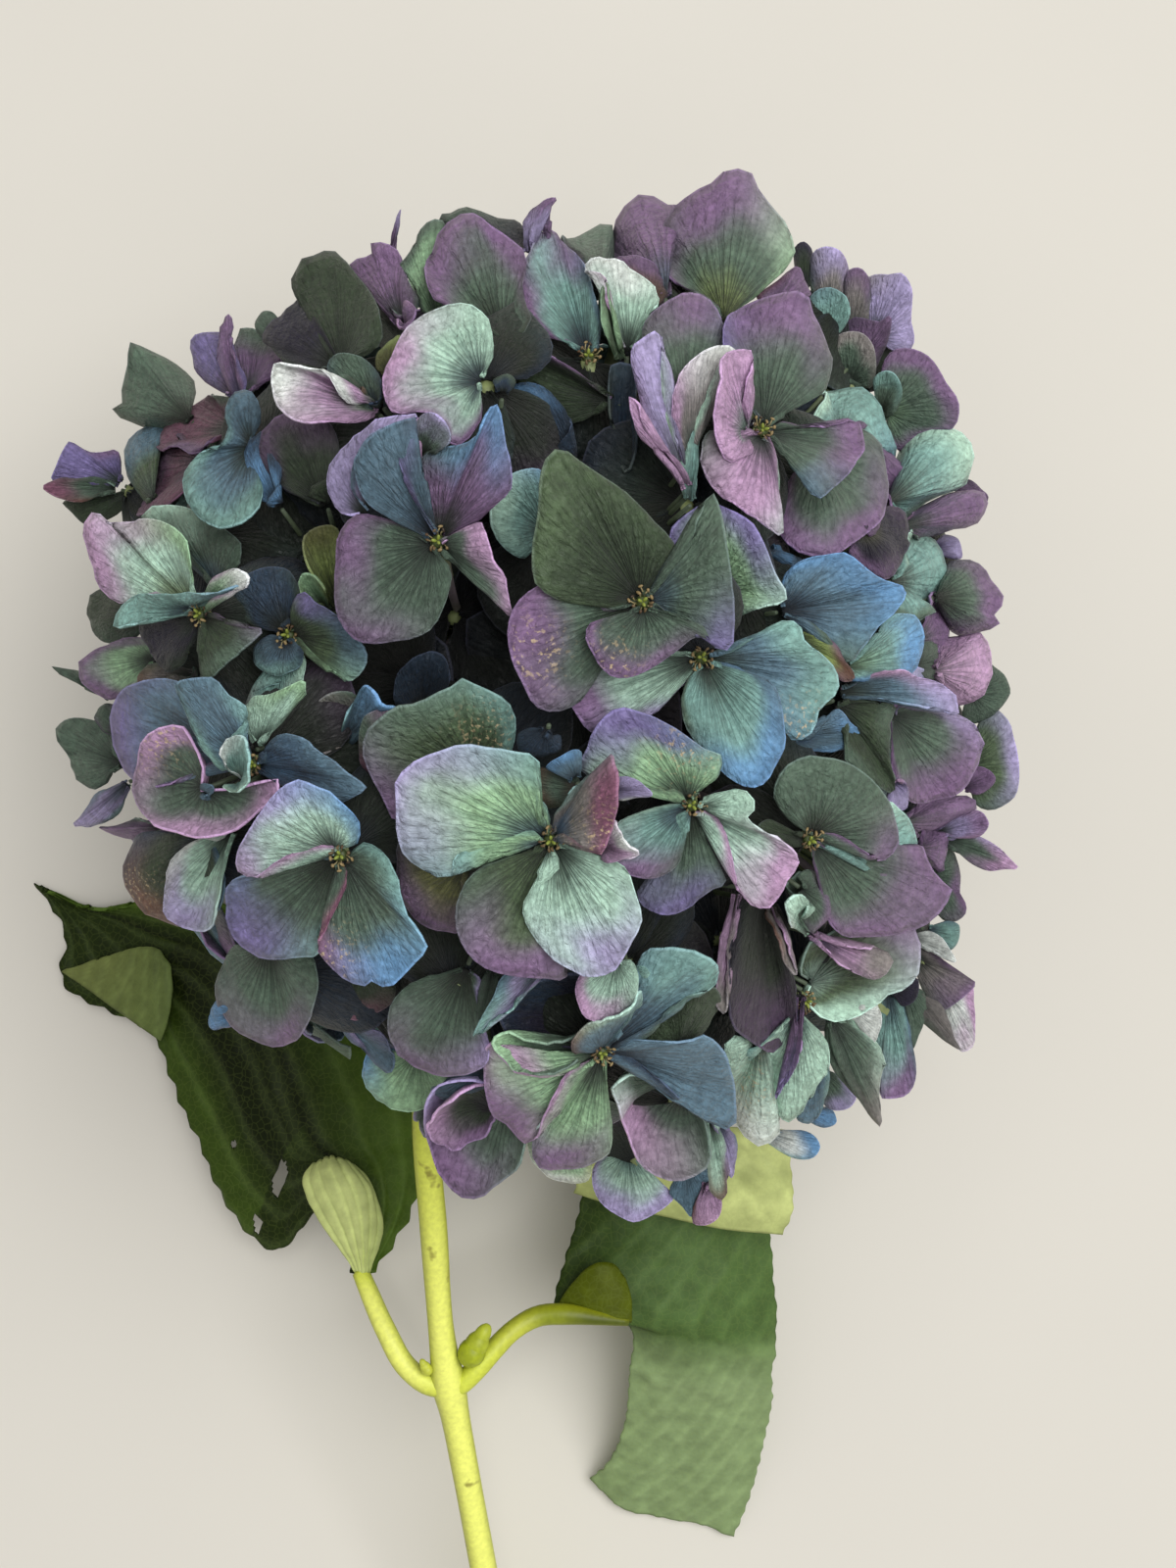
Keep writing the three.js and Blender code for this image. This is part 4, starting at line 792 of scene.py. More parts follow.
RIGHT_BLADE = [
    [(587, 1218, 34), (625, 1230, 35), (680, 1242, 35.4), (735, 1254, 34.6), (797, 1260, 31)],
    [(590, 1200, 37), (630, 1210, 38), (690, 1220, 38.8), (750, 1228, 37.6), (808, 1236, 34)],
    [(592, 1175, 37.6), (640, 1180, 38.8), (700, 1183, 39.4), (755, 1185, 38), (806, 1192, 34)],
    [(600, 1150, 33), (645, 1150, 34.4), (700, 1150, 35), (755, 1150, 33), (800, 1154, 29)],
    [(600, 1190, 27), (640, 1190, 28.4), (690, 1190, 29), (745, 1205, 26), (780, 1220, 22)],
    [(592, 1235, 27), (635, 1240, 29), (682, 1250, 29.6), (735, 1262, 27), (785, 1266, 22)],
    [(577, 1290, 30), (625, 1292, 32), (685, 1300, 32), (740, 1305, 28), (788, 1306, 22.5)],
    [(567, 1331, 34), (630, 1340, 34.6), (690, 1346, 33.6), (740, 1358, 29), (790, 1362, 22)],
    [(643, 1352, 32), (668, 1360, 32), (712, 1370, 30), (752, 1380, 25), (786, 1394, 20)],
    [(643, 1402, 25), (665, 1406, 25.6), (708, 1410, 25), (750, 1420, 20.4), (786, 1428, 16)],
    [(637, 1457, 15), (662, 1460, 15.8), (702, 1466, 15), (742, 1472, 12.6), (776, 1476, 10)],
    [(621, 1493, 7.6), (650, 1503, 8.2), (692, 1515, 7.6), (734, 1522, 6.4), (765, 1522, 5)],
    [(604, 1508, 2.4), (638, 1538, 2), (678, 1548, 1.6), (714, 1553, 1.4), (747, 1566, 1.2)],
]
# Each bud's foot, tip and half width
RIGHT_BUD = ((473, 1394, 46), (497, 1354, 47.5), 3.2)
LEFT_BUD = ((439, 1403, 45.5), (430, 1388, 46.5), 1.4)
BUD_SCALES = ((0.35, 1), (0.55, 0.85), (0.75, 0.6))  # how far along each scale sits, and its share of width
BUD_SCALE_LENGTH = 0.32  # half a scale's length, as a share of the bud's

# The stage, in metres
TABLE_SIZE = 8
WINDOW_PLACE = (1.15, 0.75, 2.9)
WINDOW_SIZE = 2.6
WINDOW_AIM = Vector((0, 0, 0.05))
ROOM_COLOUR = "#f0eeec"
ROOM_STRENGTH = 0.5
FILM = 36  # millimetres, along the picture's longer side


def linear(code):
    """An sRGB hex colour as linear red, green, blue and alpha."""
    parts = [int(code[k:k + 2], 16) / 255 for k in (1, 3, 5)]
    return [c / 12.92 if c <= 0.04045 else ((c + 0.055) / 1.055) ** 2.4 for c in parts] + [1.0]


def tone(code):
    """An sRGB hex colour as linear red, green and blue."""
    return Vector(linear(code)[:3])


TINT_VALUES = {letter: tone(code) for letter, code in TINTS.items()}


def seen(column, row, height):
    """Where a pixel of the picture lies in space, at a given height over the table."""
    scale = SLOPE * (VIEWER.z - height)
    across = (column - MIDDLE[0]) * scale
    up = (MIDDLE[1] - row) * scale
    return Vector((VIEWER.x + across, VIEWER.y + up, height))


def shell_height(column, row):
    """How high the head's surface stands where a pixel meets it, found by going halfway 30 times."""
    height = HEAD.z + SHELL.z
    for _ in range(30):
        p = seen(column, row, height)
        inside = 1 - ((p.x - HEAD.x) / SHELL.x) ** 2 - ((p.y - HEAD.y) / SHELL.y) ** 2
        height = (height + HEAD.z + SHELL.z * math.sqrt(max(0, inside))) / 2
    return height


def scaled(way, share):
    """The point in a direction from the head's middle, a share of the way out to its surface."""
    return Vector(w * s * share for w, s in zip(way, SHELL)) + HEAD


def even_direction(index, count):
    """Directions spread evenly over a sphere."""
    z = 1 - (2 * index + 1) / count
    radius = math.sqrt(1 - z * z)
    turn = index * GOLDEN_ANGLE
    return Vector((radius * math.cos(turn), radius * math.sin(turn), z))


def from_middle(point):
    """A point as seen from the head's middle: its length is 1 on the surface of the florets' eyes."""
    return Vector((p - h) / s for p, h, s in zip(point, HEAD, SHELL))


def direction(point):
    """The direction in which a point lies from the head's middle."""
    return from_middle(point).normalized()


def nearest(branches, way):
    """The branch that points most nearly in a direction."""
    return min(branches, key=lambda branch: branch["way"].angle(way))


def hidden_eyes(eyes, count, room):
    """The florets on the sides and underneath, where the picture doesn't reach."""
    found = []
    for index in range(count):
        way = even_direction(index, count)
        eye = scaled(way, 1)
        eye.z = max(eye.z, EYE_OVER_TABLE)
        crowded = any((other - eye).length < room for other in (*eyes, *found))
        if way.z < HORIZON and not crowded and way.angle(STEMWARD) > STEM_CONE:
            found.append(eye)
    return found


def new_floret(index, eye):
    """A floret with its eye, its facing and its sepals. The pictured ones have the first numbers."""
    pictured = index < len(SEEN)
    resting = eye.z < EYE_OVER_TABLE + 0.5
    outward = Vector(w / s for w, s in zip(direction(eye), SHELL)).normalized()
    upturn = PICTURED_UPTURN if pictured else UPTURN
    return {
        "index": index,
        "eye": eye,
        "resting": resting,
        "facing": -UP if resting else outward.lerp(UP, upturn).normalized(),
        "picture": SEEN[index][0] if pictured else None,
        "open": index in OPEN_EYES or not pictured,
        "inner": False,
        "sepals": SEEN[index][1] if pictured else [],
    }


def all_florets():
    """The cymes, each with its florets: the pictured ones, those behind them, and those between these."""
    hubs = [{"way": even_direction(k, CYMES), "florets": []} for k in range(CYMES)]
    for hub in hubs:
        hub["point"] = scaled(hub["way"], HUB_SHARE)
    eyes = [seen(column, row, shell_height(column, row) + lift) for (column, row, lift), _ in SEEN]
    placed = 0
    for count, room in ((WHOLE_HEAD, ROOM), (BETWEEN, BETWEEN_ROOM)):
        eyes += hidden_eyes(eyes, count, room)
        for index in range(placed, len(eyes)):
            nearest(hubs, direction(eyes[index]))["florets"].append(new_floret(index, eyes[index]))
        placed = len(eyes)
        hubs = [hub for hub in hubs if hub["florets"]]
    for hub in hubs:
        settle(hub)
    add_inner_florets(hubs)
    return hubs


def settle(hub):
    """Leaves out the florets that would hide pictured ones, and sinks those on the head's shoulders."""
    hub["florets"] = [floret for floret in hub["florets"] if floret["index"] not in LEFT_OUT]
    for floret in hub["florets"]:
        if not floret["picture"] and floret["eye"].z > SHOULDER:
            floret["eye"] -= floret["facing"] * SINK


def add_inner_florets(hubs):
    """Gives the cymes their small florets deep in the head."""
    for index in range(INNER):
        way = even_direction(index, INNER)
        if way.angle(STEMWARD) > STEM_CONE:
            floret = new_floret(INNER_FIRST + index, scaled(way, INNER_SHARE))
            nearest(hubs, way)["florets"].append({**floret, "open": False, "inner": True})


def all_limbs():
    """The limbs into which the stem parts inside the head."""
    limbs = [{"way": even_direction(k, LIMBS)} for k in range(LIMBS)]
    for limb in limbs:
        limb["point"] = scaled(limb["way"], LIMB_SHARE)
    return limbs


def smooth_curve(points, count):
    """Evenly spaced places along a smooth curve through points, count of them and one more."""
    dense = dense_curve(points)
    run = [0]
    for a, b in zip(dense, dense[1:]):
        run.append(run[-1] + (b - a).length)
    places = []
    at = 0
    for k in range(count + 1):
        target = run[-1] * k / count
        while at < len(run) - 2 and run[at + 1] < target:
            at += 1
        share = (target - run[at]) / max(run[at + 1] - run[at], 1e-6)
        places.append(dense[at].lerp(dense[at + 1], min(max(share, 0), 1)))
    return places


def dense_curve(points):
    """Close places along a smooth curve through points."""
    lengths = [max((b - a).length, 1e-4) for a, b in zip(points, points[1:])]
    slopes = [(points[1] - points[0]) / lengths[0]]
    for k in range(1, len(points) - 1):
        before = (points[k] - points[k - 1]) / lengths[k - 1]
        after = (points[k + 1] - points[k]) / lengths[k]
        slopes.append((before * lengths[k] + after * lengths[k - 1]) / (lengths[k] + lengths[k - 1]))
    slopes.append((points[-1] - points[-2]) / lengths[-1])
    dense = []
    for k, length in enumerate(lengths):
        for step in range(STEPS):
            t = step / STEPS
            dense.append(
                points[k] * (2 * t ** 3 - 3 * t ** 2 + 1)
                + slopes[k] * length * (t ** 3 - 2 * t ** 2 + t)
                + points[k + 1] * (3 * t ** 2 - 2 * t ** 3)
                + slopes[k + 1] * length * (t ** 3 - t ** 2)
            )
    dense.append(points[-1])
    return dense


def mixed(values, share):
    """The value at a share of the way along evenly spaced values, eased between them."""
    at = min(max(share, 0), 1) * (len(values) - 1)
    low = min(int(at), len(values) - 2)
    t = at - low
    t = t * t * (3 - 2 * t)
    return values[low] * (1 - t) + values[low + 1] * t


def new_grid(name, across, along):
    """A flat grid primitive; its X and Y run from -1 to 1 and its UV map from 0 to 1."""
    bpy.ops.object.select_all(action="DESELECT")
    bpy.ops.mesh.primitive_grid_add(x_subdivisions=across, y_subdivisions=along, size=2)
    piece = bpy.context.object
    piece.name = name
    piece.data.name = name
    return piece


def lay(piece, place, tint):
    """Moves each vertex of a grid to place(u, v) in millimetres and paints it tint(u, v). A fourth value in
    the paint is how thick the freckles lie."""
    attribute = piece.data.attributes.new("tint", "FLOAT_COLOR", "POINT")
    for vertex in piece.data.vertices:
        u, v = vertex.co.x, (vertex.co.y + 1) / 2
        paint = tuple(tint(u, v))
        attribute.data[vertex.index].color = paint if len(paint) == 4 else (*paint, 0)
        vertex.co = place(u, v) * MM
    piece.data.update()
    return piece


def joined(pieces, name):
    """One mesh from several."""
    bpy.ops.object.select_all(action="DESELECT")
    for piece in pieces:
        piece.select_set(True)
    bpy.context.view_layer.objects.active = pieces[0]
    if len(pieces) > 1:
        bpy.ops.object.join()
    whole = bpy.context.object
    whole.name = name
    whole.data.name = name
    return whole


def thickened(piece, thickness):
    """Gives a sheet its thickness, under the side that faces out."""
    solid = piece.modifiers.new("Thickness", "SOLIDIFY")
    solid.thickness = thickness
    solid.offset = -1
    bpy.context.view_layer.objects.active = piece
    bpy.ops.object.modifier_apply(modifier=solid.name)


def closed(piece):
    """Merges a wrapped grid's seam and poles and turns its faces out."""
    mesh = bmesh.new()
    mesh.from_mesh(piece.data)
    bmesh.ops.remove_doubles(mesh, verts=mesh.verts, dist=1e-6)
    bmesh.ops.recalc_face_normals(mesh, faces=mesh.faces)
    mesh.to_mesh(piece.data)
    mesh.free()


def finished(piece, material, replaced=()):
    """Shades a piece smooth, gives it its material, and hangs it on the body."""
    piece.data.materials.clear()
    piece.data.materials.append(material)
    piece.data.shade_smooth()
    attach(piece, "root")
    if replaced:
        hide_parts(*replaced)


# Sepals. Lengths are in millimetres.

SAG = 0.7  # how closely a pictured sepal follows the head's surface downhill
GROWN_LENGTH = (20, 24)  # of sepals that the picture hides
GROWN_WIDTH = (19, 24)
UNDER_SIZE = 0.88  # those that pictured ones cover are a little smaller,
UNDER_DROP = 11  # hang lower
GAP_SHADE_LEVEL = 0.28  # and are darkened with painted shade
STEEP = 0.85  # florets this far down the head's side have two more of them, towards its middle,
DEEP_DROP = 17  # and those hang lower still
UPHILL_SPREAD = 0.6  # to either side of the way there, in radians
CLAW_HALF = 0.7  # half width of a sepal's claw
CLAW_OUT = 1.2  # how far from the eye it starts
GROOVE = 0.5  # depth of the crease along a sepal's middle
GROOVE_HALF = 0.16
SWELL = (0.13, 1.4)  # turns to a millimetre and height of a sepal's broad waves,
RIPPLE = (0.45, 0.8)  # and of its small ones
BLOT = 0.35  # how far the borders between a sepal's colours wander
MARGIN_FROM, MARGIN_OVER = 0.48, 0.48  # the margin's colours start here and take this much to be full
CLAW_DARK, CLAW_DARK_TO = 0.75, 0.5  # how much darker the claw is, partly its own darker base and partly painted shade round the eye, and how far out that reaches
DEPTH_SHADE = 0.68  # how much painted shade darkens a sepal deep in the head,
DEPTH_SHADE_FROM, DEPTH_SHADE_OVER = 4, 17  # from the first of these depths on, over the second
FRECKLE_REACH = 4.5
PICTURED_GRID, HIDDEN_GRID, INNER_GRID = (34, 11), (18, 8), (14, 6)
HIDDEN_LOOKS = ("GGGPG", "GSGPS", "DGGVG", "GTSPP", "GSVPP", "STTLS", "GGSSB", "DGGGP", "GGPPK", "GETLG")
GAP_SHADE_LOOKS = ("DDDGC", "CDCGC", "DGCCD", "DDGPD", "CCSCD")  # dark colours, painted shade, for the sepals down in the gaps


def rise_at(rise, share):
    """How far a margin stands up, at a share of the way round it."""
    return mixed((0, *rise, 0), share)


def pictured_margin(floret, sepal):
    """A pictured sepal's claw and margin in space."""
    column, row, _ = floret["picture"]
    ground = shell_height(column, row)
    eye = floret["eye"]
    claw = sepal.get("claw", (column, row))
    pixels = [claw, *sepal["outline"], claw]
    run = [0]
    for a, b in zip(pixels, pixels[1:]):
        run.append(run[-1] + math.dist(a, b))
    points = []
    for pixel, length in zip(pixels, run):
        away = (seen(*pixel, eye.z) - eye).length
        drop = SAG * (shell_height(*pixel) - ground)
        height = eye.z + max(drop, -away) + rise_at(sepal["rise"], length / run[-1])
        points.append(seen(*pixel, max(height, CLEARANCE)))
    if "claw" not in sepal:
        points[0] = points[-1] = eye
    return points[0], points[1:-1]


def other_claws(floret):
    """The claws of pictured sepals that grow beside a floret, each on a stalk of its own."""
    return [pictured_margin(floret, sepal)[0] for sepal in floret["sepals"] if "claw" in sepal]


def grown_margin(floret, angle, draw, drop):
    """A sepal that the picture hides, at an angle about its floret's eye."""
    facing = floret["facing"]
    along = Matrix.Rotation(angle, 3, facing) @ facing.orthogonal().normalized()
    across = along.cross(facing)
    size = UNDER_SIZE if floret["picture"] else 1
    reach = draw.uniform(*GROWN_LENGTH) * size
    width = draw.uniform(*GROWN_WIDTH) * size
    point = draw.uniform(0, 1)
    lean = draw.uniform(1, 3)
    rise = draw.uniform(-1, 3) - drop
    # half widths at shares of the way out, to a tip that point draws out
    flank = [(0.1, 0.2), (0.28, 0.42), (0.5, 0.5), (0.7, 0.46 - 0.04 * point), (0.88, 0.3 - 0.07 * point),
             (0.97, 0.12)]
    shape = [(share, -half) for share, half in flank] + [(1 + 0.04 * point, 0)] + flank[::-1]
    points = []
    for share, half in shape:
        height = rise * share * (1.6 - share) + lean * 2 * half * share
        if floret["resting"]:
            height = EYE_OVER_TABLE * share ** 0.5 - 1
        place = floret["eye"] + along * reach * share + across * width * half + facing * height
        place.z = max(place.z, CLEARANCE)
        points.append(place)
    return floret["eye"], points


def outward_normal(claw, margin, facing):
    """A sepal's mean normal, on the side that its floret faces."""
    normal = Vector((0, 0, 0))
    for a, b in zip(margin, margin[1:]):
        normal += (b - claw).cross(a - claw)
    normal.normalize()
    return normal if normal.dot(facing) > 0 else -normal


class SepalShape:
    """A sepal that spreads from its claw to its margin: where its points lie, and their colours.
    u runs from -1 to 1 round the margin, and v from 0 at the claw to 1 at the margin."""

    def __init__(self, claw, margin, facing, look, draw, across):
        """The margin is turned round, with its colours, if it doesn't run the way that u does."""
        self.look = look
        self.across = across
        self.tints = [TINT_VALUES[letter] * look.get("shade", 1) for letter in look["tints"]]
        self.normal = outward_normal(claw, margin, facing)
        turning = sum(((a - claw).cross(b - claw) for a, b in zip(margin, margin[1:])), ZERO)
        if turning.dot(self.normal) > 0:
            margin = margin[::-1]
            self.tints[2], self.tints[4] = self.tints[4], self.tints[2]
        out = (sum(margin, ZERO) / len(margin) - claw).normalized()
        self.start = claw + out * CLAW_OUT
        self.half_claw = out.cross(self.normal).normalized() * CLAW_HALF
        ends = (self.start - self.half_claw, self.start + self.half_claw)
        self.rim = smooth_curve([ends[0], *margin, ends[1]], across)
        self.seed = Vector([draw.uniform(0, 90) for _ in range(3)])

    def edge(self, u):
        """The margin's point at u."""
        return self.rim[round((u + 1) / 2 * self.across)]

    def place(self, u, v):
        """A point of the sheet, with its bulge, crease and waves."""
        foot = self.start + self.half_claw * u
        p = foot + (self.edge(u) - foot) * v
        bulge = self.look.get("arch", 1) * 4 * v * (1 - v) * (1 - 0.4 * u * u)
        groove = GROOVE * math.exp(-((u / GROOVE_HALF) ** 2)) * math.sin(math.pi * v)
        swell = noise.noise(p * SWELL[0] + self.seed) * SWELL[1] * v
        ripple = noise.noise(p * RIPPLE[0] + self.seed) * RIPPLE[1] * v * v
        wave = swell + ripple
        p += self.normal * (bulge - groove + wave)
        p.z = max(p.z, CLEARANCE)
        return p

    def tint(self, u, v):
        """The colours from claw to middle to margin, darker at the claw, partly as painted shade, and with
        painted shade deep in the head.
        """
        claw, middle, *margin = self.tints
        edge = mixed(margin, 0.5 + u * 0.75)
        blot = BLOT * noise.noise(Vector((u * 3, v * 3, 0)) + self.seed)
        reach = v + blot * v
        near = mixed((claw, middle), reach * 2.2)
        share = min(max((reach - MARGIN_FROM) / MARGIN_OVER, 0), 1)
        colour = near.lerp(edge, share * share * (3 - 2 * share))
        colour = colour * (1 - CLAW_DARK * (1 - min(v / CLAW_DARK_TO, 1)) ** 1.6)
        # painted shade: the deeper under the head's surface, the darker the sepal
        deep = (1 - from_middle(self.start.lerp(self.edge(u), v)).length) * SHELL.x
        colour = colour * (1 - DEPTH_SHADE * min(max(deep - DEPTH_SHADE_FROM, 0) / DEPTH_SHADE_OVER, 1))
        return (*colour, self.freckled(u, v))

    def freckled(self, u, v):
        """How thick the freckles lie, from 0 to 1, about the place where the picture shows them."""
        if "spots" not in self.look:
            return 0
        here = self.place(u, v)
        away = (here - seen(*self.look["spots"], here.z)).length
        return math.exp(-((away / FRECKLE_REACH) ** 2))


def sepal_sheet(name, claw, margin, facing, look, draw, grid):
    """One sepal as a sheet: fans of points from its claw to its margin."""
    shape = SepalShape(claw, margin, facing, look, draw, grid[0])
    return lay(new_grid(name, *grid), shape.place, shape.tint)


def missing_sepals(bearings, draw):
    """The bearings of the sepals that make up a floret's four, each in the widest gap."""
    known = list(bearings) or [draw.uniform(0, math.tau)]
    added = []
    for _ in range(4 - len(bearings)):
        known.sort()
        gaps = [((b - a) % math.tau or math.tau, a) for a, b in zip(known, known[1:] + known[:1])]
        width, first = max(gaps)
        added.append((first + width / 2) % math.tau)
        known.append(added[-1])
    return added


def grown_look(floret, draw):
    """The looks of a sepal that the picture hides. Those down in the gaps get dark colours, as painted shade.
    """
    look = {"tints": draw.choice(HIDDEN_LOOKS), "arch": draw.uniform(0.3, 2)}
    if floret["picture"] or floret["inner"]:
        look = {"tints": draw.choice(GAP_SHADE_LOOKS), "shade": GAP_SHADE_LEVEL}
    return look


def petal_work(floret, number, draw):
    """A floret's sepals, pictured ones first and then those that fill its empty sides."""
    facing = floret["facing"]
    side = facing.orthogonal().normalized()
    over = facing.cross(side)

    def bearing(way):
        return math.atan2(way.dot(over), way.dot(side))

    sheets = []
    bearings = []
    for sepal in floret["sepals"]:
        claw, margin = pictured_margin(floret, sepal)
        name = f"sepal_{number}_{len(sheets)}"
        sheets.append(sepal_sheet(name, claw, margin, UP, sepal, draw, PICTURED_GRID))
        bearings.append(bearing(sum(margin, ZERO) / len(margin) - floret["eye"]) % math.tau)
    hang = UNDER_DROP if floret["picture"] else 0
    added = [(angle, hang) for angle in missing_sepals(bearings, draw)]
    if floret["picture"] and direction(floret["eye"]).z < STEEP:
        uphill = bearing(HEAD - floret["eye"])
        added += [(uphill - UPHILL_SPREAD, DEEP_DROP), (uphill + UPHILL_SPREAD, DEEP_DROP)]
    grid = INNER_GRID if floret["inner"] else HIDDEN_GRID
    for angle, drop in added:
        claw, margin = grown_margin(floret, angle, draw, drop)
        name = f"sepal_{number}_{len(sheets)}"
        sheets.append(sepal_sheet(name, claw, margin, facing, grown_look(floret, draw), draw, grid))
    return sheets


# Hearts and stalks. Lengths are in millimetres.

LEFT_SIDE_SHADE, RIGHT_SIDE_SHADE = 0.9, 0.7  # how strongly painted shade lies on a stem's left and right sides
HEART_SIZE = 0.78
HEART_GREEN = tone("#8f9c44")
HEART_DARK = tone("#44502a")
FILAMENT = tone("#a6946c")
ANTHERS = [tone(code) for code in ("#3d3024", "#6d5a3e", "#97825a", "#cdbf9a", "#56422e")]
STYLES = 3
STAMENS = 11
LIMB_RADII, RAY_RADII, PEDUNCLE_RADII = (2.2, 2), (1.5, 1.3), (1.3, 1.2)
RAY_STOP = 6.5  # the stem's ray to a cyme ends this far from the cyme's fork,
PEDUNCLE_LENGTH = 7  # and the cyme's own stalk starts inside it
STALK_GREEN = tone("#8d9a63")
STALK_DARK = tone("#4a5646")
STALK_MAUVE = tone("#8a7d84")


def tube(name, points, radii, sides, tints, rings, flank=None):
    """A round tube along a smooth line, closed at both ends. Its radii belong to its points, and flank is
    a painted shade colour laid on its two sides, heavier on its left side than on its right."""
    if len(radii) != len(points):
        radii = [mixed(radii, k / (len(points) - 1)) for k in range(len(points))]
    line = smooth_curve([Vector((*point, radius)) for point, radius in zip(points, radii)], rings - 2)

    def place(u, v):
        at = round(v * rings)
        inner = min(max(at - 1, 0), rings - 2)
        centre = line[inner].to_3d()
        if at in (0, rings):
            return centre
        before = line[max(inner - 1, 0)].to_3d()
        after = line[min(inner + 1, rings - 2)].to_3d()
        along = (after - before).normalized()
        side = (UP if abs(along.z) < 0.8 else Vector((0, 1, 0))).cross(along).normalized()
        over = along.cross(side)
        turn = math.pi * u
        return centre + (side * math.cos(turn) + over * math.sin(turn)) * line[inner].w

    def tint(u, v):
        colour = mixed(tints, v)
        if not flank:
            return colour
        # painted shade on the two sides, heavier on the left
        lean = math.cos(math.pi * u)
        return colour.lerp(flank, LEFT_SIDE_SHADE * lean ** 2 if lean > 0 else RIGHT_SIDE_SHADE * lean ** 4)

    return lay(new_grid(name, sides, rings), place, tint)


def ball(name, centre, along, half, length, tint_value, sides=8, rings=5):
    """A small egg about a centre."""
    along = along.normalized()
    side = along.orthogonal().normalized()
    over = along.cross(side)

    def place(u, v):
        turn = math.pi * u
        tilt = math.pi * v
        ring = (side * math.cos(turn) + over * math.sin(turn)) * half * math.sin(tilt)
        return centre + ring - along * length * math.cos(tilt)

    return lay(new_grid(name, sides, rings), place, lambda u, v: tint_value)


def heart():
    """A floret's disc with its stamens, modelled once about the origin, facing up."""
    draw = random.Random(7)
    parts = [ball("disc", Vector((0, 0, 0.2)), UP, 1.5, 1, HEART_DARK, 10, 6)]
    for k in range(STYLES):
        turn = math.tau * k / STYLES + 0.4
        way = Vector((math.cos(turn), math.sin(turn), 1.6))
        parts.append(ball(f"style_{k}", way * 0.6 + UP * 0.5, way, 0.42, 0.9, HEART_GREEN, 6, 4))
    for k in range(STAMENS):
        turn = math.tau * k / STAMENS + draw.uniform(-0.4, 0.4)
        lean = draw.uniform(0.4, 1.8)
        length = draw.uniform(1.3, 3)
        way = Vector((math.cos(turn) * lean, math.sin(turn) * lean, 1)).normalized()
        foot = Vector((math.cos(turn), math.sin(turn), 0.3))
        top = foot + way * length
        bend = Vector((draw.uniform(-0.4, 0.4), draw.uniform(-0.4, 0.4), 0.2))
        parts.append(tube(f"filament_{k}", [foot, (foot + top) / 2 + bend, top], (0.2, 0.15), 5,
                          (HEART_DARK, FILAMENT), 4))
        parts.append(ball(f"anther_{k}", top, bend, draw.uniform(0.3, 0.42), draw.uniform(0.45, 0.8),
                          draw.choice(ANTHERS), 6, 4))
    whole = joined(parts, "heart_model")
    closed(whole)
    return whole


def copied(piece, name, matrix):
    """A copy of a piece with its mesh moved by a matrix."""
    twin = piece.copy()
    twin.data = piece.data.copy()
    twin.data.transform(matrix)
    twin.name = name
    bpy.context.collection.objects.link(twin)
    return twin


def heart_place(floret, draw):
    """Moves the model heart to a floret's eye, at any turn about its facing."""
    turn = UP.rotation_difference(floret["facing"]).to_matrix().to_4x4()
    spin = Matrix.Rotation(draw.uniform(0, math.tau), 4, "Z")
    return Matrix.Translation(floret["eye"] * MM) @ turn @ spin @ Matrix.Scale(HEART_SIZE, 4)


# Materials. Grains are in spots to a metre, with the size of one spot beside them.

SEPAL_MOTTLE = 700  # 1.4 mm
SEPAL_CLOUD = 130  # 7.7 mm
SEPAL_CRUMB = 1300  # 0.8 mm, in the freckles
SEPAL_QUILT = 900  # 1.1 mm
RIND_GRAIN = 900  # 1.1 mm, on stems and stalks
HEART_GRAIN = 1500  # 0.7 mm
BUD_GRAIN = 600  # 1.7 mm
CORK_GRAIN = 150  # 6.7 mm, between the flecks on the stem
LEAF_MOTTLE = 260  # 3.8 mm
LEAF_NET = 600  # 1.7 mm, from one fine vein to the next
PAINT_CLOUD = 5  # 200 mm
# Scale, wander, scale of the wander and sharpness of a sepal's main and fine veins
VEIN_WAVES = ((4.2, 2.4, 2.2, 5), (11, 3.5, 3, 4))


def add(nodes, kind, settings=None, links=None):
    """Adds a node, with settings by name or input and links from other nodes' outputs."""
    node = nodes.nodes.new(kind)
    for key, value in (settings or {}).items():
        if isinstance(key, str) and hasattr(node, key):
            setattr(node, key, value)
        else:
            node.inputs[key].default_value = value
    for key, source in (links or {}).items():
        nodes.links.new(source, node.inputs[key])
    return node


def blank(name):
    """A material without nodes, and its node tree."""
    material = bpy.data.materials.new(name)
    material.use_nodes = True
    nodes = material.node_tree
    nodes.nodes.clear()
    return material, nodes


def painted_tint(nodes):
    """The colour that is painted on a mesh, and the places on it."""
    tint = add(nodes, "ShaderNodeAttribute", {"attribute_name": "tint"})
    return tint, add(nodes, "ShaderNodeTexCoord")


def grained(nodes, place, scale, detail, **more):
    """Noise of a grain's size, on a piece's own coordinates."""
    settings = {"Scale": scale, "Detail": detail, **more}
    return add(nodes, "ShaderNodeTexNoise", settings, {"Vector": place.outputs["Object"]}).outputs["Fac"]


def remap(nodes, source, low, high, to_low, to_high):
    """A value between low and high as one between to_low and to_high."""
    settings = {"From Min": low, "From Max": high, "To Min": to_low, "To Max": to_high}
    return add(nodes, "ShaderNodeMapRange", settings, {"Value": source}).outputs[0]


def product(nodes, first, second):
    """One value times another."""
    return add(nodes, "ShaderNodeMath", {"operation": "MULTIPLY"}, {0: first, 1: second}).outputs[0]


def dimmed(nodes, colour, level):
    """A colour times a value."""
    links = {0: colour, "Scale": level}
    return add(nodes, "ShaderNodeVectorMath", {"operation": "SCALE"}, links).outputs[0]


def covered(nodes, share, colour, cover):
    """A colour with another over it, by share. The cover is a value or another node's output."""
    settings = {"data_type": "RGBA"}
    links = {0: share, 6: colour}
    (links if isinstance(cover, bpy.types.NodeSocket) else settings)[7] = cover
    return add(nodes, "ShaderNodeMix", settings, links).outputs[2]


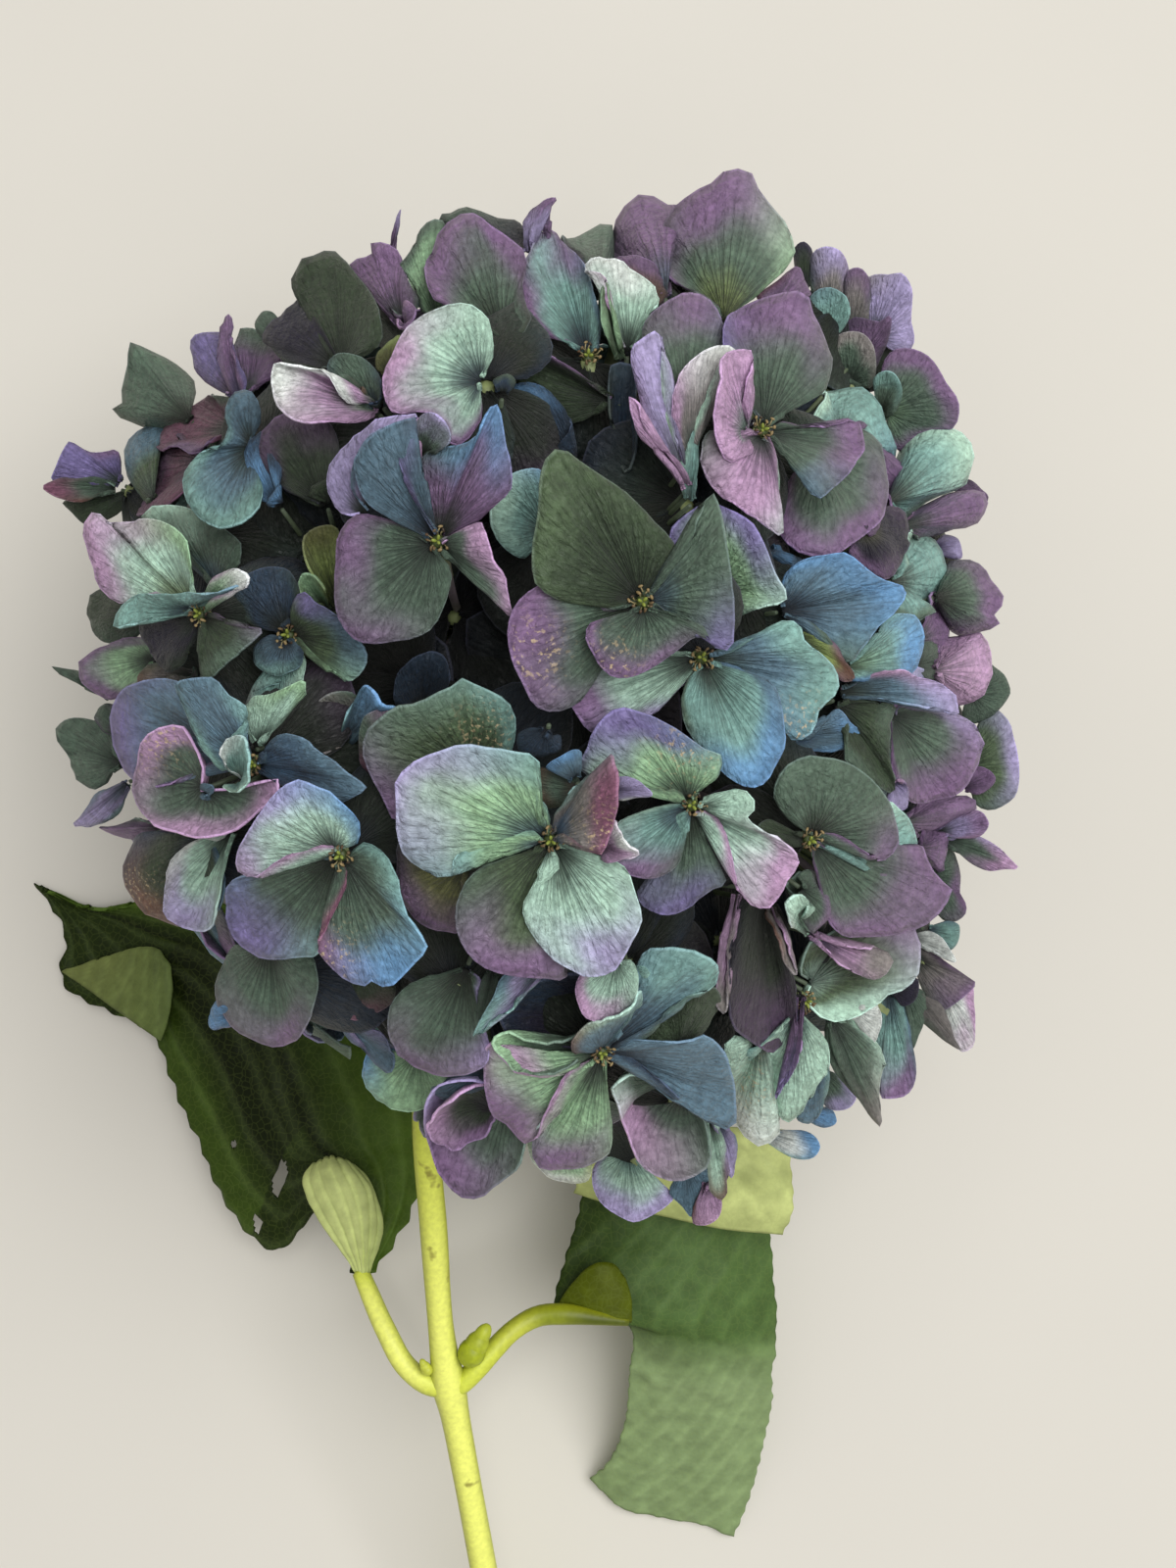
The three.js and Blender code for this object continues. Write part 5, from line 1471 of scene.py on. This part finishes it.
def surface(nodes, colour, settings, bump=None):
    """Ends a material with its surface. A bump is a height, a strength and a distance in metres."""
    links = {"Base Color": colour}
    if bump:
        height, strength, distance = bump
        links["Normal"] = add(nodes, "ShaderNodeBump", {"Strength": strength, "Distance": distance},
                              {"Height": height}).outputs[0]
    shader = add(nodes, "ShaderNodeBsdfPrincipled", settings, links)
    add(nodes, "ShaderNodeOutputMaterial", None, {"Surface": shader.outputs[0]})


def sepal_veins(nodes, place, way_out):
    """Veins that fan out from the claw, main ones and fine ones, and fade towards the margin."""
    fan = add(nodes, "ShaderNodeMapping", {"Scale": (1, 0.12, 1)}, {"Vector": place.outputs["UV"]})
    lines = []
    for scale, wander, wander_scale, sharpness in VEIN_WAVES:
        settings = {"Scale": scale, "Distortion": wander, "Detail": 3, "Detail Scale": wander_scale,
                    "Detail Roughness": 0.6}
        wave = add(nodes, "ShaderNodeTexWave", settings, {"Vector": fan.outputs[0]})
        line = add(nodes, "ShaderNodeMath", {"operation": "POWER", 1: sharpness}, {0: wave.outputs["Fac"]})
        lines.append(line.outputs[0])
    both = add(nodes, "ShaderNodeMath", {"operation": "MAXIMUM"}, {0: lines[0], 1: lines[1]})
    return product(nodes, both.outputs[0], remap(nodes, way_out, 0.05, 0.85, 0.8, 0.15))


def sepal_relief(nodes, place, vein):
    """The height of a sepal's skin: puckered along its veins, quilted between them and sunk on them."""
    ridges = add(nodes, "ShaderNodeMapping", {"Scale": (44, 9, 1)}, {"Vector": place.outputs["UV"]})
    pucker = add(nodes, "ShaderNodeTexNoise", {"Scale": 1, "Detail": 4, "Roughness": 0.6, "Distortion": 0.8},
                 {"Vector": ridges.outputs[0]})
    quilt = add(nodes, "ShaderNodeTexVoronoi",
                {"feature": "SMOOTH_F1", "Scale": SEPAL_QUILT, "Smoothness": 0.5},
                {"Vector": place.outputs["Object"]})
    relief = add(nodes, "ShaderNodeMath", {"operation": "MULTIPLY_ADD", 1: -0.25},
                 {0: quilt.outputs["Distance"], 2: pucker.outputs["Fac"]})
    sunk = add(nodes, "ShaderNodeMath", {"operation": "MULTIPLY_ADD", 1: -0.45},
               {0: vein, 2: relief.outputs[0]})
    return sunk.outputs[0]


def sepal_tissue():
    """Hydrangea sepal: thin, dry to the touch and faintly downy, so it has broad, soft lights.
    Darker veins fan out from the claw, the skin between them is quilted, and the rim is pale."""
    material, nodes = blank("hydrangea sepal")
    tint, place = painted_tint(nodes)
    way_out = add(nodes, "ShaderNodeSeparateXYZ", None, {0: place.outputs["UV"]}).outputs["Y"]
    vein = sepal_veins(nodes, place, way_out)
    veined = add(nodes, "ShaderNodeMix",
                 {"data_type": "RGBA", "blend_type": "MULTIPLY", 7: (0.35, 0.4, 0.42, 1)},
                 {0: vein, 6: tint.outputs["Color"]})
    mottle = grained(nodes, place, SEPAL_MOTTLE, 5, Roughness=0.65)
    speck = remap(nodes, mottle, 0.32, 0.68, 0.74, 1.3)
    cloud = remap(nodes, grained(nodes, place, SEPAL_CLOUD, 3), 0.3, 0.7, 0.82, 1.18)
    mottled = dimmed(nodes, veined.outputs[2], product(nodes, speck, cloud))
    crust = remap(nodes, grained(nodes, place, SEPAL_CRUMB, 2), 0.57, 0.68, 0, 0.85)
    freckles = product(nodes, crust, tint.outputs["Alpha"])
    freckled = covered(nodes, freckles, mottled, linear("#dfc69c"))
    pale = add(nodes, "ShaderNodeVectorMath",
               {"operation": "MULTIPLY_ADD", 1: (1.8, 1.8, 1.9), 2: (0.05, 0.05, 0.075)},
               {0: tint.outputs["Color"]})
    rim = remap(nodes, way_out, 0.975, 0.992, 0, 0.75)
    edged = covered(nodes, rim, freckled, pale.outputs[0])
    settings = {"Roughness": 0.5, "Specular IOR Level": 0.4, "Sheen Weight": 0.06, "Sheen Roughness": 0.5}
    surface(nodes, edged, settings, (sepal_relief(nodes, place, vein), 0.9, 0.0012))
    return material


def painted_tissue(name, roughness, grain, strength, darkest=0.8, flecks=0):
    """Living tissue whose colour is painted on its mesh: a soft gloss that a fine grain breaks up, with
    corky flecks if they are asked for."""
    material, nodes = blank(name)
    tint, place = painted_tint(nodes)
    mottle = grained(nodes, place, grain, 4)
    colour = dimmed(nodes, tint.outputs["Color"], remap(nodes, mottle, 0.3, 0.7, darkest, 1.12))
    corky = remap(nodes, grained(nodes, place, CORK_GRAIN, 3), 0.64, 0.7, 0, flecks)
    flecked = covered(nodes, corky, colour, linear("#857a30"))
    settings = {"Roughness": roughness, "Specular IOR Level": 0.4}
    surface(nodes, flecked, settings, (mottle, strength, 0.0003))
    return material


def leaf_tissue():
    """Hydrangea leaf: leathery, with a network of sunken veins that breaks up its soft gloss."""
    material, nodes = blank("hydrangea leaf")
    tint, place = painted_tint(nodes)
    level = remap(nodes, grained(nodes, place, LEAF_MOTTLE, 5), 0.3, 0.7, 0.82, 1.16)
    net = add(nodes, "ShaderNodeTexVoronoi", {"feature": "DISTANCE_TO_EDGE", "Scale": LEAF_NET},
              {"Vector": place.outputs["Object"]}).outputs["Distance"]
    thread = remap(nodes, net, 0, 0.09, 0.09, 0)
    veined = covered(nodes, thread, dimmed(nodes, tint.outputs["Color"], level), linear("#8b9c50"))
    surface(nodes, veined, {"Roughness": 0.55, "Specular IOR Level": 0.14}, (net, 0.22, 0.0005))
    return material


def painted_board(colour):
    """Emulsion paint on board: matt, with the faint unevenness of a hand-rolled coat."""
    material, nodes = blank("painted board")
    place = add(nodes, "ShaderNodeTexCoord")
    level = remap(nodes, grained(nodes, place, PAINT_CLOUD, 3), 0.3, 0.7, 0.97, 1.02)
    shade = add(nodes, "ShaderNodeVectorMath", {"operation": "SCALE", 0: colour[:3]}, {"Scale": level})
    surface(nodes, shade.outputs[0], {"Roughness": 0.8})
    return material


# Stem, leaves and buds. Lengths are in millimetres.

STEM_LIGHT = tone("#f3f77a")
STEM_GREEN = tone("#d3dc4c")
# painted shade for the sides of the stem and petioles
STEM_SIDE_SHADE = tone("#9aa01c")
PETIOLE_GREEN = tone("#c6cc48")
PETIOLE_DARK = tone("#8a9420")
BUD_GREEN = tone("#a2ae1e")
# painted shade on the left blade under the head
LEAF_SHADOW = tone("#121b00")
LEAF_MOSS = tone("#48601c")
LEAF_DEEP = tone("#2c3d14")
LEAF_MID = tone("#4b6433")
LEAF_SOFT = tone("#84996a")
LEAF_OLIVE = tone("#6c7440")
LEAF_BASE = tone("#4f5908")
LEAF_PALE = tone("#c6cf85")
LEAF_VEIN = tone("#9db078")
STEM_TINTS = (STEM_GREEN, STEM_LIGHT, STEM_LIGHT, STEM_GREEN, STALK_GREEN)
LEFT_PETIOLE_TINTS = (STEM_GREEN, STEM_LIGHT, STEM_LIGHT, STEM_LIGHT, STEM_GREEN)
# the right petiole darkens towards its blade, into the painted shade of the blade's base
RIGHT_PETIOLE_TINTS = (STEM_GREEN, STEM_GREEN, PETIOLE_GREEN, PETIOLE_DARK, LEAF_BASE, LEAF_BASE)
MIDRIB_SHARE = 0.6  # where the midrib crosses the folded right blade
VEIN_DEPTH = 0.55
MARGIN_SHARE = 0.9  # a blade is toothed from here out
QUILTS = ((0.12, 0.9), (0.35, 0.25))  # turns to a millimetre and height of a blade's waves


def ridge(value, width):
    """1 where value is a whole number, falling to 0 within width of it."""
    return math.exp(-((min(value % 1, 1 - value % 1) / width) ** 2))


def left_veins(u, v):
    """Side veins that run forward from the midrib to both margins."""
    return max(ridge(u * 3.4 + v * 1.2, 0.13), math.exp(-((u / 0.05) ** 2)))


def lobe_veins(u, v):
    """Veins along the folded base."""
    return ridge(u * 3 + 0.5, 0.16)


def right_veins(u, v):
    """The midrib crosses this folded blade, and its side veins run up and down from it."""
    away = v - MIDRIB_SHARE
    side = ridge((v + (0.2 if away < 0 else 0.32) * u) * 11, 0.13)
    return max(side * 0.5, math.exp(-((away / 0.02) ** 2)) * max(u, 0) * 1.6)


def no_veins(u, v):
    """The right blade's base is too small to show any."""
    return 0


def left_colours(u, v):
    """Painted shade, nearly black where the head shades it, over its own mossy green where the light reaches
    it.
    """
    moss = 0.12
    if u > 0.1:
        moss = min((u - 0.1) * 1.5, 1)
    elif 0.3 < v < 0.72:
        moss = min(max(-0.4 - u, 0) * 1.3, 0.5)
    return LEAF_SHADOW.lerp(LEAF_MOSS, moss)


def fold_colours(u, v):
    """The paler underside, where the far edge is folded over."""
    return LEAF_OLIVE.lerp(LEAF_MID, 0.25 + 0.25 * u)


def lobe_colours(u, v):
    """The pale underside at the left petiole."""
    return LEAF_PALE.lerp(LEAF_MID, 0.1 + 0.25 * max(u, 0))


def base_colours(u, v):
    """The shaded base at the right petiole."""
    return LEAF_BASE


def right_colours(u, v):
    """A pale flap with painted shade in its creases, then a deep green half that lightens past the midrib."""
    if v < 0.2:
        # olive stripes at the flap's creases are painted shade
        return LEAF_PALE.lerp(LEAF_OLIVE, 0.35 * ridge(v * 10, 0.3))
    upper = LEAF_DEEP.lerp(LEAF_MID, min(max((u + 0.95) * 1.1, 0), 1))
    return upper.lerp(LEAF_SOFT, min(max((v - 0.56) * 9, 0), 1))


def petiole(name, line, tints):
    """A leaf's stalk, from the stem's node to its blade."""
    points = [seen(column, row, height) for column, row, height, _ in line]
    return tube(name, points, [row[3] for row in line], 16, tints, 36, STEM_SIDE_SHADE)


def blade_grid(rows, across, along):
    """A smooth grid of places through rows of points."""
    rows = [smooth_curve([seen(*place) for place in row], across) for row in rows]
    return [smooth_curve([row[k] for row in rows], along) for k in range(across + 1)]


def blade(name, rows, colours, veins, grid, teeth, pitch=5):
    """A leaf blade: its margin is toothed, a tooth to each pitch, and its veins are sunk."""
    across, along = grid
    columns = blade_grid(rows, across, along)
    length = sum((b - a).length for a, b in zip(columns[0], columns[0][1:]))
    count = max(round(length / pitch), 1)

    def place(u, v):
        i, j = round((u + 1) / 2 * across), round(v * along)
        p = columns[i][j].copy()
        left, right = columns[max(i - 1, 0)][j], columns[min(i + 1, across)][j]
        low, high = columns[i][max(j - 1, 0)], columns[i][min(j + 1, along)]
        normal = (right - left).cross(high - low).normalized()
        if abs(u) > MARGIN_SHARE:
            tooth = teeth * ((v * count) % 1 - 0.5) * (abs(u) - MARGIN_SHARE) / 0.1
            p += (right - left).normalized() * math.copysign(tooth, u)
        quilt = sum(noise.noise(p * turns) * height for turns, height in QUILTS)
        p += normal * (quilt - VEIN_DEPTH * veins(u, v)) * min(1, v * 12)
        p.z = max(p.z, CLEARANCE)
        return p

    def tint(u, v):
        colour = colours(u, v)
        return colour + (LEAF_VEIN * 0.06 + colour * 0.22) * min(veins(u, v), 1)

    return lay(new_grid(name, across, along), place, tint)


def eaten(piece, holes):
    """Takes out of a blade what insects have eaten: round each place, as seen from above."""
    mesh = bmesh.new()
    mesh.from_mesh(piece.data)
    gone = []
    for face in mesh.faces:
        middle = face.calc_center_median() / MM
        for column, row, wide, tall in holes:
            away = middle - seen(column, row, middle.z)
            if (away.x / wide) ** 2 + (away.y / tall) ** 2 < 1:
                gone.append(face)
                break
    bmesh.ops.delete(mesh, geom=gone, context="FACES")
    mesh.to_mesh(piece.data)
    mesh.free()


class HydrangeaSettings(bpy.types.PropertyGroup):
    """What a user would change."""
    sepal_thickness: FloatProperty(
        name="Sepal thickness", description="Thickness of a sepal", default=0.00045, min=0.0001,
        subtype="DISTANCE", unit="LENGTH")
    leaf_thickness: FloatProperty(
        name="Leaf thickness", description="Thickness of a leaf blade", default=0.0006, min=0.0002,
        subtype="DISTANCE", unit="LENGTH")
    pedicel_radius: FloatProperty(
        name="Pedicel radius", description="Radius of a floret's stalk", default=0.0008, min=0.0003,
        subtype="DISTANCE", unit="LENGTH")
    floor_colour: FloatVectorProperty(
        name="Table colour", description="Colour of the painted table", subtype="COLOR", size=4,
        default=linear("#dcd8ce"), min=0, max=1)
    key_power: FloatProperty(
        name="Key light", description="Power of the window light", default=87, min=0, subtype="POWER",
        unit="POWER")


class HYDRANGEA_OT_sepals(bpy.types.Operator):
    """Builds every floret's sepals, one piece to a cyme"""
    bl_idname = "hydrangea.sepals"
    bl_label = "Sepals"

    def execute(self, context):
        settings = context.scene.hydrangea
        tissue = sepal_tissue()
        for number, cyme in enumerate(all_florets(), start=1):
            sheets = []
            for floret in cyme["florets"]:
                draw = random.Random(1000 + floret["index"])
                sheets += petal_work(floret, f"{number:02d}_{floret['index']}", draw)
            whole = joined(sheets, f"cyme_{number:02d}_sepals")
            thickened(whole, settings.sepal_thickness)
            finished(whole, tissue, [f"cyme_{number:02d}"])
        return {"FINISHED"}


class HYDRANGEA_OT_hearts(bpy.types.Operator):
    """Sets a disc with its stamens in the middle of every floret"""
    bl_idname = "hydrangea.hearts"
    bl_label = "Hearts"

    def execute(self, context):
        tissue = painted_tissue("disc and stamen tissue", 0.5, HEART_GRAIN, 0.2)
        model = heart()
        for number, cyme in enumerate(all_florets(), start=1):
            copies = []
            for floret in cyme["florets"]:
                draw = random.Random(2000 + floret["index"])
                if floret["open"]:
                    copies.append(copied(model, f"heart_{floret['index']}", heart_place(floret, draw)))
            if copies:
                whole = joined(copies, f"cyme_{number:02d}_hearts")
                finished(whole, tissue)
        bpy.data.objects.remove(model)
        return {"FINISHED"}


def pedicels(floret, hub, radius):
    """A floret's stalk, and one for each of its sepals that grows beside it."""
    index = floret["index"]
    eye = floret["eye"] - floret["facing"] * 0.6
    bow = (hub + eye) / 2 + floret["facing"] * 2
    bow.z = max(bow.z, 2)
    widths = (radius, radius, radius * 1.1, radius * 1.9)
    tints = (STALK_GREEN, STALK_MAUVE, STALK_GREEN)
    tubes = [tube(f"pedicel_{index}", [hub, bow, eye], widths, 8, tints, 12)]
    for k, claw in enumerate(other_claws(floret)):
        line = [hub, (hub + claw) / 2, claw]
        tubes.append(tube(f"side_{index}_{k}", line, (radius, radius * 0.5), 6, (STALK_GREEN, STALK_DARK), 8))
    return tubes


class HYDRANGEA_OT_stalks(bpy.types.Operator):
    """Forks each cyme's stalk into its florets' pedicels"""
    bl_idname = "hydrangea.stalks"
    bl_label = "Stalks"

    def execute(self, context):
        radius = context.scene.hydrangea.pedicel_radius / MM
        tissue = painted_tissue("pedicel tissue", 0.55, RIND_GRAIN, 0.3)
        limbs = all_limbs()
        for number, cyme in enumerate(all_florets(), start=1):
            hub = cyme["point"]
            inward = (nearest(limbs, cyme["way"])["point"] - hub).normalized()
            foot = hub + inward * PEDUNCLE_LENGTH
            tubes = [tube(f"peduncle_{number}", [foot, (foot + hub) / 2, hub], PEDUNCLE_RADII, 8,
                          (STALK_GREEN, STALK_GREEN), 5)]
            tubes.append(ball(f"knot_{number}", hub, hub - foot, 1.7, 2.2, STALK_GREEN))
            for floret in cyme["florets"]:
                tubes += pedicels(floret, hub, radius)
            whole = joined(tubes, f"cyme_{number:02d}_stalks")
            closed(whole)
            finished(whole, tissue)
        return {"FINISHED"}


def limb_tubes():
    """The limbs inside the head, from the stem's fork, and the ray from one of them to each cyme."""
    greens = (STALK_GREEN, STALK_GREEN)
    tubes = []
    limbs = all_limbs()
    for index, limb in enumerate(limbs):
        end = limb["point"]
        tubes.append(tube(f"limb_{index}", [FORK, (FORK + end) / 2, end], LIMB_RADII, 10, greens, 8))
        tubes.append(ball(f"limb_knot_{index}", end, end - FORK, 2.4, 2.8, STALK_GREEN))
    for index, cyme in enumerate(all_florets()):
        hub = cyme["point"]
        limb = nearest(limbs, cyme["way"])["point"]
        end = hub + (limb - hub).normalized() * RAY_STOP
        tubes.append(tube(f"ray_{index}", [limb, (limb + end) / 2, end], RAY_RADII, 8, greens, 6))
    return tubes


class HYDRANGEA_OT_stem(bpy.types.Operator):
    """Builds the cut stem with its node and the limbs inside the head"""
    bl_idname = "hydrangea.stem"
    bl_label = "Stem"

    def execute(self, context):
        points = [Vector(row[:3]) + UP * STEM_LIFT for row in STEM_LINE]
        radii = [row[3] for row in STEM_LINE]
        cane = tube("stem_cane", points, radii, 28, STEM_TINTS, 120, STEM_SIDE_SHADE)
        whole = joined([cane, *limb_tubes()], "cane")
        closed(whole)
        rind = painted_tissue("green hydrangea cane", 0.42, RIND_GRAIN, 0.2, darkest=0.92, flecks=0.8)
        finished(whole, rind, ["stem"])
        return {"FINISHED"}


class HYDRANGEA_OT_leaves(bpy.types.Operator):
    """Builds the two leaves with their petioles"""
    bl_idname = "hydrangea.leaves"
    bl_label = "Leaves"

    def execute(self, context):
        left = [
            blade("left_blade", LEFT_BLADE, left_colours, left_veins, (60, 200), 2.6, 7),
            blade("left_fold", LEFT_FOLD, fold_colours, left_veins, (30, 16), 0.3),
            blade("left_lobe", LEFT_LOBE, lobe_colours, lobe_veins, (40, 28), 0.2),
        ]
        eaten(left[0], LEFT_HOLES)
        right = [
            blade("right_blade", RIGHT_BLADE, right_colours, right_veins, (70, 190), 0.9, 4),
            blade("right_base", RIGHT_BASE, base_colours, no_veins, (24, 12), 0.1),
        ]
        tissue = leaf_tissue()
        for side, sheets in (("left", left), ("right", right)):
            whole = joined(sheets, f"leaf_{side}_blade")
            thickened(whole, context.scene.hydrangea.leaf_thickness)
            finished(whole, tissue, [f"leaf_{side}"])
        rind = painted_tissue("green petiole rind", 0.45, RIND_GRAIN, 0.2, darkest=0.92)
        for side, line, tints in (("left", LEFT_PETIOLE, LEFT_PETIOLE_TINTS),
                                  ("right", RIGHT_PETIOLE, RIGHT_PETIOLE_TINTS)):
            stalk = petiole(f"leaf_{side}_petiole", line, tints)
            closed(stalk)
            finished(stalk, rind)
        return {"FINISHED"}


class HYDRANGEA_OT_buds(bpy.types.Operator):
    """Sets the buds in the two leaf axils"""
    bl_idname = "hydrangea.buds"
    bl_label = "Axil buds"

    def execute(self, context):
        tissue = painted_tissue("green bud scale", 0.45, BUD_GRAIN, 0.2)
        for side, bud, tint in (("left", LEFT_BUD, PETIOLE_GREEN), ("right", RIGHT_BUD, BUD_GREEN)):
            low, high = seen(*bud[0]), seen(*bud[1])
            along = high - low
            scales = []
            for k, (share, width) in enumerate(BUD_SCALES):
                scales.append(ball(f"scale_{side}_{k}", low + along * share, along, bud[2] * width,
                                   along.length * BUD_SCALE_LENGTH, tint.lerp(STEM_GREEN, k / 5), 12, 8))
            whole = joined(scales, f"bud_{side}")
            closed(whole)
            finished(whole, tissue, [f"axil_bud_{side}"])
        return {"FINISHED"}


class HYDRANGEA_OT_stage(bpy.types.Operator):
    """Adds the pale table, the soft light from the upper right and the camera"""
    bl_idname = "hydrangea.stage"
    bl_label = "Stage"

    def execute(self, context):
        settings = context.scene.hydrangea
        bpy.ops.object.select_all(action="DESELECT")
        bpy.ops.mesh.primitive_plane_add(size=TABLE_SIZE)
        table = context.object
        table.name = "table"
        table.data.materials.append(painted_board(settings.floor_colour))
        bpy.ops.object.light_add(type="AREA", location=WINDOW_PLACE)
        key = context.object
        key.name = "window"
        key.data.shape = "RECTANGLE"
        key.data.size = key.data.size_y = WINDOW_SIZE
        key.data.energy = settings.key_power
        key.rotation_euler = (WINDOW_AIM - key.location).to_track_quat("-Z", "Y").to_euler()
        world = bpy.data.worlds.new("room")
        world.use_nodes = True
        sky = world.node_tree.nodes["Background"]
        sky.inputs["Color"].default_value = linear(ROOM_COLOUR)
        sky.inputs["Strength"].default_value = ROOM_STRENGTH
        context.scene.world = world
        context.scene.view_settings.view_transform = "Standard"
        bpy.ops.object.camera_add(location=VIEWER * MM, rotation=(0, 0, 0))
        camera = context.object
        camera.name = "camera"
        camera.data.sensor_width = FILM
        camera.data.lens = FILM / 2 / (MIDDLE[1] * SLOPE)
        camera.data.clip_start = 0.01
        context.scene.camera = camera
        return {"FINISHED"}


class HYDRANGEA_PT_panel(bpy.types.Panel):
    """The hydrangea's pieces and sizes"""
    bl_idname = "HYDRANGEA_PT_panel"
    bl_label = "Hydrangea"
    bl_space_type = "VIEW_3D"
    bl_region_type = "UI"
    bl_category = "Hydrangea"

    def draw(self, context):
        settings = context.scene.hydrangea
        for name in settings.bl_rna.properties.keys():
            if name not in ("rna_type", "name"):
                self.layout.prop(settings, name)
        for operator in OPERATORS:
            self.layout.operator(operator.bl_idname)


OPERATORS = (
    HYDRANGEA_OT_stage, HYDRANGEA_OT_stem, HYDRANGEA_OT_stalks, HYDRANGEA_OT_hearts, HYDRANGEA_OT_sepals,
    HYDRANGEA_OT_leaves, HYDRANGEA_OT_buds,
)
CLASSES = (HydrangeaSettings, *OPERATORS, HYDRANGEA_PT_panel)


def register():
    for one in CLASSES:
        bpy.utils.register_class(one)
    bpy.types.Scene.hydrangea = PointerProperty(type=HydrangeaSettings)


def unregister():
    del bpy.types.Scene.hydrangea
    for one in reversed(CLASSES):
        bpy.utils.unregister_class(one)


def main():
    """Builds the stage and every piece."""
    register()
    bpy.ops.hydrangea.stage()
    bpy.ops.hydrangea.stem()
    bpy.ops.hydrangea.stalks()
    bpy.ops.hydrangea.hearts()
    bpy.ops.hydrangea.sepals()
    bpy.ops.hydrangea.leaves()
    bpy.ops.hydrangea.buds()


if __name__ == "__main__":
    main()
